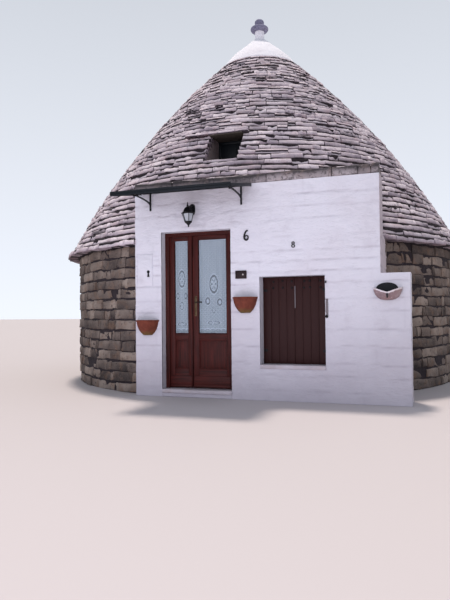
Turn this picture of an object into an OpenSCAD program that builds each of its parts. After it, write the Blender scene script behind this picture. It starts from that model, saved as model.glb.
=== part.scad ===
// Trullo house: a round dry-stone room under a stone cone, with a flat limewashed front wall.
// Millimetres. The origin is on the cone's axis at ground level, +Z up, and the front faces -Y.

/* [Round room] */
// Outer radius of the round wall
wall_r = 3260; // [3000:10:3600]
// Thickness of the round wall
wall_t = 760; // [500:10:900]
// Height of the round wall, up to the eave
wall_h = 2060; // [1900:10:2250]
// Thickness of the floor, whose top is level with the door's threshold
floor_t = 100; // [60:5:150]

/* [Roof] */
// How far the roof's stones stand out from the round wall at the eave
eave_out = 151; // [100:1:220]
// How far the lowest course stands out from the course over it
eave_lip = 30; // [10:1:50]
// Height of the stone roof, from the eave to the white cap
roof_h = 3513; // [3000:10:4000]
// Outer radius of the stone roof under the white cap
roof_top_r = 660; // [560:10:690]
// How far the roof's slope bulges out in its middle
roof_bulge = 235; // [100:5:320]
// Share of the bulge moved up the slope, in hundredths
roof_bulge_up = 10; // [0:1:40]
// Level thickness of the roof's stone under the white cap
roof_top_t = 380; // [200:10:480]
// Number of courses in the stone roof
roof_courses = 41; // [36:1:44]
// Number of the courses that make its lower part
roof_split = 25; // [23:1:28]
// Height of the sloping upper edge of a course
course_slope = 22; // [12:1:40]

/* [White cap and pinnacle] */
// How far the white cap overhangs the top course
cap_over = 40; // [20:5:80]
// Height of the white cap
cap_h = 627; // [540:1:700]
// Radius of the neck on the cap
neck_r = 85; // [60:5:110]
// Height of the neck
neck_h = 126; // [80:1:160]
// Radius of the stone disc
disc_r = 165; // [120:5:220]
// Height of the stone disc
disc_h = 107; // [80:1:150]
// Radius of the ball
ball_r = 87; // [60:1:110]
// Height of the ball above the disc
ball_h = 131; // [100:1:160]

/* [Front wall] */
// How far the front wall's face stands before the round wall
front_out = 30; // [10:5:120]
// Thickness of the front wall
front_t = 400; // [350:5:460]
// Distance from the door's middle to the left end of the front wall
front_left = 880; // [800:5:1000]
// Distance from the door's middle to the right end of the front wall
front_right = 2364; // [2250:2:2500]
// Height of the front wall under its cap stones
front_h = 2763; // [2650:1:2850]
// Thickness of the cap stones
coping_t = 120; // [80:5:150]
// How far the cap stones stand out from the wall's face
coping_out = 15; // [0:5:40]
// Length of the short cap stone at the right end
coping_end = 95; // [60:5:200]
// How far the stone fill behind the right corner stays below the wall's top
fill_drop = 60; // [20:5:200]
// How far the fill's upper part stays behind the wall's right end
fill_in = 70; // [40:5:120]
// Length of the low wall beside the front wall
low_len = 336; // [250:2:420]
// Height of the low wall
low_h = 1566; // [1500:2:1650]

/* [Doorway] */
// Width of the doorway between the walls
door_w = 986; // [900:2:1020]
// Height of the doorway above its threshold
door_h = 2100; // [2000:5:2140]
// Distance from the wall's face to the door frame
door_back = 120; // [60:5:150]
// Extra width of the passage behind the frame, at each side
passage_more = 77; // [70:1:100]
// Extra height of the passage behind the frame
passage_up = 70; // [40:5:90]
// Thickness of the threshold stone
sill_t = 50; // [30:5:55]
// How far the threshold stands out from the wall's face
sill_out = 20; // [0:5:40]

/* [Door] */
// Width of the frame that shows at each side
jamb_show = 44; // [35:1:60]
// Height of the frame that shows at the top
head_show = 35; // [30:1:60]
// Width and depth of the lip that the leaves close behind
lip = 13; // [10:1:18]
// Gap round each leaf
leaf_gap = 6; // [5:0.5:8]
// Gap between the two leaves
meet_gap = 10; // [10:0.5:14]
// Gap under the leaves
foot_gap = 8; // [6:1:15]
// How far the leaves' meeting line lies left of the doorway's middle
meet_left = 100; // [60:2:140]
// Thickness of a leaf
leaf_t = 45; // [40:1:55]
// Width of each leaf's left stile
stile_left = 78; // [60:1:90]
// Width of each leaf's right stile
stile_right = 62; // [50:1:90]
// Height of a leaf's top rail
top_rail = 65; // [50:1:90]
// Height of a leaf's middle rail
mid_rail = 85; // [60:1:110]
// Height of a leaf's bottom rail
bottom_rail = 250; // [120:2:300]
// Height of the middle rail's top above the threshold
rail_z = 738; // [650:2:850]
// Thickness of the lower panels
panel_t = 24; // [16:1:30]
// Thickness of the glass
glass_t = 6; // [4:1:8]
// Thickness of a lace curtain with its folds
curtain_t = 14; // [10:1:16]
// Gap between the glass and the curtain, and beside the curtain
curtain_gap = 3; // [2:0.5:4]
// Radius of the hinge barrels
barrel_r = 7; // [5:0.5:7]
// Height of a hinge barrel
barrel_h = 90; // [60:2:120]
// Length of the handle plates
plate_h = 270; // [220:5:340]
// Width of the handle plates
plate_w = 36; // [28:1:44]
// Share of a handle plate that lies below its lever, in hundredths
plate_below = 69; // [50:1:75]
// Height of the levers above the threshold
lever_z = 1156; // [1000:2:1250]
// Length of a lever
lever_len = 100; // [80:5:150]
// How far a lever stands out from the leaf
lever_out = 48; // [40:1:60]

/* [Shuttered window] */
// Distance from the door's middle to the window's left side
win_x = 875; // [800:5:950]
// Width of the window
win_w = 830; // [700:5:1000]
// Height of the window's foot above the ground
win_z = 450; // [350:5:600]
// Height of the window
win_h = 1115; // [900:5:1250]
// Distance from the wall's face to the shutters
shutter_back = 160; // [100:5:180]
// Thickness of the shutters
shutter_t = 30; // [20:1:40]
// Gap round each shutter
shutter_gap = 3; // [2:0.5:6]
// Width and depth of the window frame's bars
win_bar = 50; // [40:1:70]
// Thickness of the window's stone sill
win_sill_t = 50; // [30:5:80]

/* [Dormer] */
// Distance from the cone's middle to the opening's left side
dormer_left = 110; // [80:5:150]
// Width of the opening
dormer_w = 500; // [420:5:560]
// Height of the opening's foot above the ground
dormer_z = 3280; // [3150:10:3350]
// Height of the opening
dormer_h = 440; // [360:5:480]
// Distance from the cone's axis to the face of the dormer's frame
dormer_deep = 2050; // [2000:5:2120]
// Width and depth of the dormer frame's bars
dormer_bar = 50; // [35:1:70]
// Thickness of the panel in the frame
dormer_panel = 12; // [8:1:20]
// Thickness of the slab over the opening
lintel_t = 45; // [30:1:70]
// Distance from the cone's axis to the slab's front edge
lintel_front = 2450; // [2400:5:2500]
// How far the slab runs on at the left
lintel_left = 390; // [250:5:420]
// How far the slab runs on at the right
lintel_right = 85; // [50:5:200]
// Thickness of the sill slab
dormer_sill = 40; // [30:1:60]

/* [Canopy] */
// Width of the canopy
canopy_w = 1570; // [1400:10:1700]
// How far the canopy stands out from the wall
canopy_out = 841; // [700:5:950]
// How far the canopy's top at the wall lies below the wall's top
canopy_below = 1; // [0:1:40]
// How far the canopy falls to its front edge
canopy_fall = 165; // [80:5:200]
// Thickness of the canopy's sheet
canopy_t = 10; // [6:1:16]
// Height of the rails under the sheet
rail_h = 28; // [20:1:45]
// Thickness of the rails
rail_t = 20; // [12:1:30]
// Distance of the brackets from the door's middle
bracket_x = 646; // [560:2:700]
// Height of a bracket's bar on the wall
bracket_h = 261; // [220:1:290]
// Thickness of the bracket's bars
bracket_t = 16; // [12:1:24]
// How far a bracket's upper bar reaches from the wall
bracket_reach = 470; // [400:5:600]
// How far a bracket's curved bar reaches from the wall
strut_reach = 370; // [280:5:400]
// Height of the curved bar's foot above the bracket's foot
strut_up = 80; // [40:2:110]

/* [Lantern] */
// Distance of the lantern from the door's middle
lantern_x = -36; // [-80:2:60]
// Distance from the canopy's top at the wall down to the lantern's arm
lantern_below = 258; // [225:1:290]
// Distance from the wall to the lantern's middle
lantern_out = 165; // [150:5:220]
// Half of the width of the lantern's upright wall plate
lamp_plate_r = 42; // [30:1:50]
// Height of the lantern's wall plate
lamp_plate_h = 148; // [110:2:170]
// How far the plate's middle lies below the arm
lamp_plate_down = 23; // [10:1:30]
// Height of the lantern's finial above the arm
lamp_finial = 51; // [30:1:60]
// Radius of the lantern's domed roof
lamp_roof_r = 86; // [80:1:110]
// Height of the domed roof
lamp_roof_h = 87; // [75:1:100]
// Distance from the domed roof's top to the arm's middle
lamp_neck = 12; // [8:1:20]
// Corner radius of the six-sided body under its roof
lamp_top_r = 78; // [60:1:80]
// Corner radius of the six-sided body at its foot
lamp_foot_r = 46; // [35:1:56]
// Height of the lantern's glazed body
lamp_body_h = 111; // [90:1:140]
// Width and depth of the bars between the lantern's panes
lamp_bar = 8; // [5:1:10]
// Thickness of the lantern's panes
lamp_pane = 3; // [2:0.5:4]

/* [Small fittings] */
// Left side of the meter door, from the door's middle
meter_x = -849; // [-860:1:-800]
// Width of the meter door
meter_w = 225; // [160:1:240]
// Foot of the meter door above the ground
meter_z = 1483; // [1400:1:1600]
// Height of the meter door
meter_h = 437; // [350:1:500]
// How far the meter door stands out from the wall
meter_out = 8; // [4:1:20]
// Left side of the bell box, from the door's middle
bell_x = 559; // [540:1:640]
// Width of the bell box
bell_w = 148; // [100:1:180]
// Foot of the bell box above the ground
bell_z = 1546; // [1450:1:1650]
// Height of the bell box
bell_h = 103; // [80:1:130]
// Depth of the bell box
bell_out = 30; // [20:1:50]
// Width of the wall pots
pot_w = 334; // [280:2:360]
// Height of the wall pots
pot_h = 204; // [160:2:240]
// Width of the wall pots' foot
pot_foot_w = 134; // [110:2:180]
// Wall thickness of the wall pots
pot_t = 12; // [8:1:18]
// Middle of the left pot, from the door's middle
pot_left_x = -698; // [-712:2:-690]
// Top of the left pot above the ground
pot_left_z = 1024; // [950:2:1100]
// Middle of the right pot, from the door's middle
pot_right_x = 686; // [680:2:720]
// Top of the right pot above the ground
pot_right_z = 1311; // [1250:2:1400]
// Middle of the stone bowl, from the door's middle
bowl_x = 2446; // [2400:2:2500]
// Top of the stone bowl above the ground
bowl_z = 1394; // [1350:2:1450]
// Width of the stone bowl
bowl_w = 340; // [260:2:400]
// Height of the stone bowl
bowl_h = 150; // [110:2:200]
// Wall thickness of the stone bowl
bowl_t = 34; // [22:1:50]

/* [Hidden] */
$fn = 64;
// Steps round a full turn of the round wall and the roof
round_fn = 720;
// Running clearance at a hinge, and the gap that seats a loose piece
run = 0.5;
seat = 0.3;
// Margin by which a cutting shape passes the face that it cuts
past = 10;

room_r = wall_r - wall_t;
// Turn that opens the seat's gap between two lengths of the round wall or the roof
seat_turn = seat / wall_r * 180 / PI;
face_y = -(wall_r + front_out);
back_y = face_y + front_t;
eave_r = wall_r + eave_out;
roof_z = wall_h + roof_h;
coping_z = front_h + coping_t;
canopy_z = front_h - canopy_below;
lantern_z = canopy_z - lantern_below;
frame_y = face_y + door_back;
frame_d = lip + leaf_gap + leaf_t;
rear_y = frame_y + frame_d;
leaf_y = frame_y + lip + leaf_gap;
pass_x = door_w / 2 + passage_more;
door_top = floor_t + door_h;
pass_z = door_top + passage_up;
jamb_x = door_w / 2 - jamb_show;
head_z = door_top - head_show;
leaf_foot = floor_t + foot_gap;
leaf_top = head_z - leaf_gap;
leaf_side = jamb_x - leaf_gap;
hinge_x = jamb_x - leaf_gap / 2;
hinge_y = rear_y + barrel_r + 1;
flap_t = 2;
flap_w = 26;
glass_foot = floor_t + rail_z;
glass_top = leaf_top - top_rail;
panel_top = glass_foot - mid_rail;
panel_foot = leaf_foot + bottom_rail;
glass_y = leaf_y + leaf_t / 3;
curtain_y = glass_y + glass_t + curtain_gap;
win_right = win_x + win_w;
win_top = win_z + win_h;
shutter_y = face_y + shutter_back;
dormer_top = dormer_z + dormer_h;
low_right = front_right + low_len;

// Level radius of the roof's outer face at a share of its height
function roof_r(u) = eave_r + (roof_top_r - eave_r) * u
    + 4 * roof_bulge * u * (1 - u) * (1 + roof_bulge_up / 100 * (2 * u - 1));
// Level thickness of the roof at the same share
function roof_t(u) = (eave_r - room_r) * (1 - u) + roof_top_t * u;

function steps(a, b, n) = [for (i = [0:n]) a + (b - a) * i / n];

course_h = roof_h / roof_courses;
// Level of a course's foot, counted from the eave
function course_z(i) = wall_h + course_h * i;
// Radius of a course's upright face
function course_r(i) = roof_r(i / roof_courses) + (i == 0 ? eave_lip : 0);

// A block given by its low and high corners
module block(a, b) translate(a) cube(b - a);

// The round wall between two bearings from the front towards the right, less the front wall and openings
module round_wall(a, b) {
    difference() {
        rotate([0, 0, a - 90]) rotate_extrude(angle = b - a - seat_turn, $fn = round_fn)
            translate([room_r, 0]) square([wall_t, wall_h]);
        front_space(wall_h);
        passage_space();
        window_space();
    }
}

// The room that the front wall takes in the stonework behind it
module front_space(h) {
    block([-front_left, face_y - eave_out - past, -past], [front_right, back_y, h + past]);
}

module passage_space() {
    block([-pass_x, face_y, -past], [pass_x, -room_r / 2, pass_z]);
}

module window_space() {
    block([win_x, face_y, win_z], [win_right, -room_r / 2, win_top]);
}

// Steps of the roof's inner face in its lower and upper part
lower_steps = 10;
upper_steps = 8;

// The roof's section over some courses: stepped outside, smooth inside, its foot raised by a given way
function roof_section(i0, i1, n, up) = concat(
    [for (i = [i0:i1 - 1]) each [[course_r(i), course_z(i) + (i == i0 ? up : 0)],
        [course_r(i), course_z(i + 1) - course_slope]]],
    [[roof_r(i1 / roof_courses), course_z(i1)]],
    [for (i = steps(i1, i0, n)) let (u = i / roof_courses)
        [roof_r(u) - roof_t(u), course_z(i) + (i == i0 ? up : 0)]]);

// The whole round room and lower roof, filled, with the seat's gap round them
module round_mass() {
    rotate_extrude($fn = round_fn) polygon(concat(
        [[0, -past], [wall_r + seat, -past], [wall_r + seat, wall_h - seat]],
        [[course_r(0) + seat, wall_h - seat], [course_r(0) + seat, course_z(1) + seat]],
        [for (i = [1:roof_split - 1]) each [[course_r(i) + seat, course_z(i) + seat],
            [course_r(i) + seat, course_z(i + 1) + seat]]],
        [[0, course_z(roof_split)]]));
}

module floor_slab() color("lightgrey") {
    cylinder(r = room_r - seat, h = floor_t, $fn = round_fn);
    block([-pass_x, rear_y, 0], [pass_x, 0, floor_t]);
    block([-door_w / 2, face_y, 0], [door_w / 2, rear_y, floor_t - sill_t]);
}

module door_threshold() color("lightgrey") {
    block([-door_w / 2, face_y - sill_out, floor_t - sill_t], [door_w / 2, rear_y, floor_t]);
}

// A front wall pier beside the doorway, cut back behind the door frame
module door_pier(x0, x1, side) {
    block([x0, face_y, 0], [x1, frame_y, front_h]);
    block([side < 0 ? x0 : pass_x, frame_y, 0], [side < 0 ? -pass_x : x1, back_y, front_h]);
}

module front_wall_left() color("white") door_pier(-front_left, -door_w / 2, -1);

module front_wall_middle() color("white") door_pier(door_w / 2, win_x, 1);

module front_wall_over_door() color("white") {
    block([-door_w / 2, face_y, door_top], [door_w / 2, frame_y, front_h]);
    block([-pass_x, frame_y, pass_z], [pass_x, back_y, front_h]);
}

module front_wall_over_window() color("white") {
    block([win_x, face_y, win_top], [win_right, back_y, front_h]);
}

module front_wall_under_window() color("white") {
    block([win_x, face_y, 0], [win_right, back_y, win_z - win_sill_t]);
}

module front_wall_right() color("white") {
    block([win_right, face_y, 0], [front_right, back_y, front_h]);
}

// Stone fill between the front wall's right end and the round room
module corner_masonry() color("white") {
    difference() {
        union() {
            block([win_x, back_y, 0], [front_right, -wall_r / 3, wall_h]);
            block([win_x, back_y, 0], [front_right - fill_in, -wall_r / 3, front_h - fill_drop]);
        }
        round_mass();
        window_space();
    }
}

module low_wall() color("white") {
    block([front_right, face_y, 0], [low_right, back_y, low_h]);
}

module cap_stones() color("darkgrey") {
    for (span = [[-front_left, front_right - coping_end], [front_right - coping_end, front_right]])
        block([span[0], face_y - coping_out, front_h], [span[1], back_y, coping_z]);
}

module round_wall_front_left() color("gray") round_wall(-52, 0);

module round_wall_front_right() color("gray") round_wall(0, 52);

module round_wall_right() color("gray") round_wall(52, 98);

module round_wall_back_right() color("gray") round_wall(98, 180);

module round_wall_back_left() color("gray") round_wall(180, 262);

module round_wall_left() color("gray") round_wall(262, 308);

module roof_front() color("rosybrown") {
    difference() {
        roof_quarter(-45);
        passage_space();
        block([-dormer_left, -wall_r, dormer_z - dormer_sill],
            [dormer_w - dormer_left, -room_r / 2, dormer_top]);
        lintel_slab();
    }
}

module roof_right() color("rosybrown") roof_quarter(45);

module roof_back() color("rosybrown") roof_quarter(135);

module roof_left() color("rosybrown") roof_quarter(225);

// A quarter of the lower roof, less what the front wall takes
module roof_quarter(a) {
    difference() {
        rotate([0, 0, a - 90]) rotate_extrude(angle = 90 - seat_turn, $fn = round_fn)
            polygon(roof_section(0, roof_split, lower_steps, 0));
        front_space(coping_z - past);
    }
}

module roof_top() color("rosybrown") {
    rotate_extrude($fn = round_fn) polygon(roof_section(roof_split, roof_courses, upper_steps, seat));
}

module white_cap() color("white") {
    foot_r = roof_top_r + cap_over;
    // Shares of the foot's radius and of the height along the cap's hollow slope
    slope = [[1, 0], [1, 0.04], [0.83, 0.28], [0.61, 0.51], [0.36, 0.755], [0.29, 0.83], [0.19, 0.92]];
    translate([0, 0, roof_z]) rotate_extrude() polygon(concat([[0, 0]],
        [for (p = slope) [foot_r * p[0], cap_h * p[1]]],
        [[neck_r, cap_h], [neck_r, cap_h + neck_h], [0, cap_h + neck_h]]));
}

// A round stone with a flat seat above and below
module turned_stone(r, h, seat_r) {
    rotate_extrude() polygon(concat([[0, 0], [seat_r, 0]],
        [for (i = [1:7]) [seat_r + (r - seat_r) * sin(180 * i / 8), h * (1 - cos(180 * i / 8)) / 2]],
        [[seat_r, h], [0, h]]));
}

module pinnacle_disc() color("slategray") {
    translate([0, 0, roof_z + cap_h + neck_h]) turned_stone(disc_r, disc_h, disc_r * 0.6);
}

module pinnacle_ball() color("slategray") {
    translate([0, 0, roof_z + cap_h + neck_h + disc_h]) turned_stone(ball_r, ball_h, ball_r * 0.4);
}

module dormer_sill() color("rosybrown") {
    block([-dormer_left, -course_r(floor((dormer_z - wall_h) / course_h)), dormer_z - dormer_sill],
        [dormer_w - dormer_left, dormer_bar * 2 - dormer_deep, dormer_z]);
}

module lintel_slab() {
    block([-dormer_left - lintel_left, -lintel_front, dormer_top],
        [dormer_w - dormer_left + lintel_right, dormer_bar * 2 - dormer_deep, dormer_top + lintel_t]);
}

module dormer_lintel() color("lightgrey") lintel_slab();

module dormer_frame() color("darkslategray") {
    bar_frame(-dormer_left, dormer_w - dormer_left, dormer_z, dormer_top, -dormer_deep, dormer_bar);
}

// A frame of square bars in the plane of the front wall
module bar_frame(x0, x1, z0, z1, y, bar) {
    difference() {
        block([x0, y, z0], [x1, y + bar, z1]);
        block([x0 + bar, y - past, z0 + bar], [x1 - bar, y + bar + past, z1 - bar]);
    }
}

module dormer_panel() color("darkslategray") {
    y = -dormer_deep + (dormer_bar - dormer_panel) / 2;
    block([-dormer_left + dormer_bar, y, dormer_z + dormer_bar],
        [dormer_w - dormer_left - dormer_bar, y + dormer_panel, dormer_top - dormer_bar]);
}

module door_frame() color("saddlebrown") {
    difference() {
        block([-pass_x, frame_y, floor_t], [pass_x, rear_y, pass_z]);
        block([-jamb_x, frame_y + lip, floor_t - past], [jamb_x, rear_y + past, head_z]);
        block([lip - jamb_x, frame_y - past, floor_t - past], [jamb_x - lip, rear_y + past, head_z - lip]);
    }
}

// A door leaf: stiles and rails round a pane's space, with a thinner panel below
module leaf(x0, x1) {
    panel_y = leaf_y + (leaf_t - panel_t) / 2;
    difference() {
        block([x0, leaf_y, leaf_foot], [x1, leaf_y + leaf_t, leaf_top]);
        block([x0 + stile_left, leaf_y - past, glass_foot], [x1 - stile_right, rear_y + past, glass_top]);
        block([x0 + stile_left, leaf_y - past, panel_foot], [x1 - stile_right, panel_y, panel_top]);
        block([x0 + stile_left, panel_y + panel_t, panel_foot], [x1 - stile_right, rear_y + past, panel_top]);
    }
}

left_span = [-leaf_side, -meet_left - meet_gap / 2];
right_span = [-meet_left + meet_gap / 2, leaf_side];

module door_left_leaf() color("saddlebrown") leaf(left_span[0], left_span[1]);

module door_right_leaf() color("saddlebrown") leaf(right_span[0], right_span[1]);

module pane(span) {
    block([span[0] + stile_left, glass_y, glass_foot],
        [span[1] - stile_right, glass_y + glass_t, glass_top]);
}

module left_glass() color("lightblue", 0.4) pane(left_span);

module right_glass() color("lightblue", 0.4) pane(right_span);

module curtain(span) {
    block([span[0] + stile_left + curtain_gap, curtain_y, glass_foot + curtain_gap],
        [span[1] - stile_right - curtain_gap, curtain_y + curtain_t, glass_top - seat]);
}

module left_curtain() color("white") curtain(left_span);

module right_curtain() color("white") curtain(right_span);

// Plates and levers on both faces of the right leaf
module door_handle() color("goldenrod") {
    x = right_span[0] + stile_left / 2;
    z = floor_t + lever_z;
    low = plate_h * plate_below / 100;
    plate_t = 4;
    lever_r = 7;
    boss_r = 9;
    for (side = [-1, 1]) {
        y = side < 0 ? leaf_y : rear_y;
        translate([x, y, z]) mirror([0, side < 0 ? 1 : 0, 0]) {
            block([-plate_w / 2, 0, -low], [plate_w / 2, plate_t, plate_h - low]);
            rotate([-90, 0, 0]) cylinder(r = boss_r, h = lever_out - lever_r);
            translate([0, lever_out - lever_r, 0]) rotate([0, 90, 0]) cylinder(r = lever_r, h = lever_len);
            translate([0, lever_out - lever_r, 0]) sphere(r = boss_r);
        }
    }
}

hinge_zs = [for (k = [0.13, 0.5, 0.87]) leaf_foot + (leaf_top - leaf_foot) * k];

// Half of each hinge on one side: a barrel half and its flap
module hinge_halves(side, on_leaf) {
    for (z = hinge_zs) translate([side * hinge_x, hinge_y, z + (on_leaf ? run : 0)]) {
        z0 = on_leaf ? 0 : -barrel_h / 2;
        z1 = on_leaf ? barrel_h / 2 : 0;
        out = on_leaf ? -side : side;
        translate([0, 0, z0]) cylinder(r = barrel_r, h = z1 - z0);
        mirror([out < 0 ? 1 : 0, 0, 0])
            block([0, rear_y - hinge_y, z0], [flap_w, rear_y - hinge_y + flap_t, z1]);
    }
}

module hinge_frame_halves() color("goldenrod") {
    hinge_halves(-1, false);
    hinge_halves(1, false);
}

module left_hinge_halves() color("goldenrod") hinge_halves(-1, true);

module right_hinge_halves() color("goldenrod") hinge_halves(1, true);

module window_sill() color("lightgrey") {
    block([win_x, face_y - sill_out, win_z - win_sill_t], [win_right, back_y, win_z]);
}

module window_frame() color("saddlebrown") {
    bar_frame(win_x, win_right, win_z, win_top, shutter_y + shutter_t, win_bar);
}

module shutter(x0, x1) {
    block([x0, shutter_y, win_z + shutter_gap], [x1, shutter_y + shutter_t, win_top - shutter_gap]);
}

module left_shutter() color("maroon") {
    shutter(win_x + shutter_gap, (win_x + win_right - shutter_gap) / 2);
}

module right_shutter() color("maroon") {
    shutter((win_x + win_right + shutter_gap) / 2, win_right - shutter_gap);
}

canopy_slope = canopy_fall / canopy_out;

// The canopy's section in the plane across the wall, as points forward from the wall and up
function canopy_band(top, thick, from, to) = [
    [from, top - canopy_slope * from], [to, top - canopy_slope * to],
    [to, top - thick - canopy_slope * to], [from, top - thick - canopy_slope * from]];

// A shape drawn forward from the wall and up, given a width along the wall
module from_wall(x0, x1) {
    translate([x0, face_y, 0]) rotate([90, 0, 90]) mirror([1, 0, 0]) linear_extrude(x1 - x0) children();
}

module canopy_sheet() color("darkslategray") {
    from_wall(-canopy_w / 2, canopy_w / 2) polygon(canopy_band(canopy_z, canopy_t, 0, canopy_out));
}

module canopy_rails() color("darkslategray") {
    top = canopy_z - canopy_t;
    for (x = [-canopy_w / 2, canopy_w / 2 - rail_t])
        from_wall(x, x + rail_t) polygon(canopy_band(top, rail_h, 0, canopy_out));
    from_wall(-canopy_w / 2, canopy_w / 2)
        polygon(canopy_band(top, rail_h, canopy_out - rail_t, canopy_out));
}

// A wall bracket: an upright bar, a bar under the sheet that ends in a scroll, and a curved bar between them
module bracket(x) {
    under = canopy_z - canopy_t;
    foot = canopy_z - bracket_h;
    strut_z = foot + strut_up;
    rise = under - bracket_t - canopy_slope * strut_reach - strut_z;
    scroll_z = under - bracket_t - canopy_slope * (bracket_reach + bracket_t);
    from_wall(x - bracket_t / 2, x + bracket_t / 2) {
        polygon([[0, foot], [bracket_t, foot], [bracket_t, under - canopy_slope * bracket_t], [0, under]]);
        polygon(canopy_band(under, bracket_t, 0, bracket_reach));
        translate([bracket_reach, scroll_z]) circle(r = bracket_t);
        polygon(concat(curved(0, strut_z, rise), reverse(curved(bracket_t, strut_z, rise))));
    }
}

// Points of the curved bar, which is steep at its foot and flattens out under the sheet
function curved(up, z, rise) =
    [for (i = [0:12]) [strut_reach * i / 12, z + rise * sin(90 * i / 12) + up]];

function reverse(list) = [for (i = [len(list) - 1:-1:0]) list[i]];

module canopy_brackets() color("black") {
    for (x = [-bracket_x, bracket_x]) bracket(x);
}

lamp_y = face_y - lantern_out;
lamp_top_z = lantern_z - lamp_neck;
lamp_edge_z = lamp_top_z - lamp_roof_h;
lamp_foot_z = lamp_edge_z - lamp_body_h;

// The upright oval plate that carries the lantern's arm
module oval_plate(thick) {
    up = lamp_plate_h / 2 - lamp_plate_r;
    translate([0, 0, -lamp_plate_down]) {
        for (z = [-up, up]) translate([0, 0, z]) rotate([90, 0, 0]) cylinder(r = lamp_plate_r, h = thick);
        block([-lamp_plate_r, -thick, -up], [lamp_plate_r, 0, up]);
    }
}

// Wall plate, arm and the turned stem that holds the lantern's roof
module lantern_bracket() color("black") {
    translate([lantern_x, face_y, lantern_z]) {
        oval_plate(14);
        rotate([90, 0, 0]) cylinder(r = 8, h = lantern_out);
        translate([0, -lantern_out, -lamp_neck]) cylinder(r = 10, h = lamp_neck * 2);
        translate([0, -lantern_out, lamp_neck]) cylinder(r = 7, h = lamp_finial - lamp_neck - 9);
        translate([0, -lantern_out, lamp_finial - 9]) sphere(r = 9);
    }
}

// The bell-shaped roof over its level rim
module lantern_roof() color("black") {
    rim = 6;
    // Shares of the rim's radius and of the height along the bell
    bell = [[1, 0], [0.9, 0.05], [0.78, 0.11], [0.7, 0.17], [0.66, 0.33], [0.62, 0.53],
        [0.5, 0.72], [0.3, 0.88], [0.16, 0.94], [0.12, 1]];
    translate([lantern_x, lamp_y, lamp_edge_z]) rotate_extrude() polygon(concat([[0, 0], [lamp_roof_r, 0]],
        [for (p = bell) [lamp_roof_r * p[0], rim + (lamp_roof_h - rim) * p[1]]], [[0, lamp_roof_h]]));
}

// A six-sided body that narrows downwards, less a margin at its sides and longer at both ends
module lamp_body(less, more) {
    flare = (lamp_top_r - lamp_foot_r) / lamp_body_h * more;
    foot_r = lamp_foot_r - less - flare;
    top_r = lamp_top_r - less + flare;
    translate([0, 0, -more]) cylinder(r1 = foot_r, r2 = top_r, h = lamp_body_h + 2 * more, $fn = 6);
}

module lantern_glass() color("white", 0.4) {
    inset = lamp_bar + seat;
    translate([lantern_x, lamp_y, lamp_foot_z]) difference() {
        lamp_body(inset, 0);
        lamp_body(inset + lamp_pane, past);
    }
}

// Six slanting bars between the panes, the foot plate and its turned drop
module lantern_cage() color("black") {
    plate_t = 12;
    drop = [[0, 0], [lamp_foot_r * 0.75, 0], [lamp_foot_r * 0.6, -14], [12, -30],
        [9, -40], [11, -48], [0, -56]];
    translate([lantern_x, lamp_y, lamp_foot_z]) {
        for (k = [0:5]) rotate([0, 0, 60 * k]) multmatrix([
            [1, 0, (lamp_top_r - lamp_foot_r) / lamp_body_h, lamp_foot_r - lamp_bar],
            [0, 1, 0, -lamp_bar / 2], [0, 0, 1, 0], [0, 0, 0, 1]]) cube([lamp_bar, lamp_bar, lamp_body_h]);
        translate([0, 0, -plate_t]) cylinder(r = lamp_foot_r, h = plate_t);
        translate([0, 0, -plate_t]) rotate_extrude() polygon(drop);
    }
}

module meter_door() color("whitesmoke") {
    block([meter_x, face_y - meter_out, meter_z], [meter_x + meter_w, face_y, meter_z + meter_h]);
}

module bell_box() color("maroon") {
    block([bell_x, face_y - bell_out, bell_z], [bell_x + bell_w, face_y, bell_z + bell_h]);
}

// A half-round terracotta pot that hangs flat against the wall, open at its top
module wall_pot(x, top) {
    translate([x, face_y, top - pot_h]) difference() {
        pot_half(pot_w / 2, pot_foot_w / 2, pot_h, 0);
        translate([0, 0, pot_t]) pot_half(pot_w / 2 - pot_t, pot_foot_w / 2 - pot_t, pot_h, pot_t);
    }
}

// Half of a flared pot, cut off a given way before its axis
module pot_half(top_r, foot_r, h, back) {
    intersection() {
        rotate_extrude() polygon([[0, 0], [foot_r, 0], [(foot_r + top_r) * 0.49, h * 0.46],
            [top_r * 0.93, h * 0.86], [top_r, h * 0.9], [top_r, h], [0, h]]);
        block([-pot_w, -pot_w, -past], [pot_w, -back, h + past]);
    }
}

module left_pot() color("chocolate") wall_pot(pot_left_x, pot_left_z);

module right_pot() color("chocolate") wall_pot(pot_right_x, pot_right_z);

// A half bowl of stone on the low wall
module stone_bowl() color("rosybrown") {
    translate([bowl_x, face_y, bowl_z - bowl_h]) difference() {
        bowl_half(bowl_w / 2, bowl_h, 0);
        translate([0, 0, bowl_t]) bowl_half(bowl_w / 2 - bowl_t, bowl_h, bowl_t);
    }
}

// Half of a bowl with a flat foot, cut off a given way before its axis
module bowl_half(top_r, h, back) {
    intersection() {
        rotate_extrude() polygon([[0, 0], [top_r * 0.52, 0], [top_r * 0.84, h * 0.35], [top_r, h], [0, h]]);
        block([-bowl_w, -bowl_w, -past], [bowl_w, -back, h + past]);
    }
}

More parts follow.
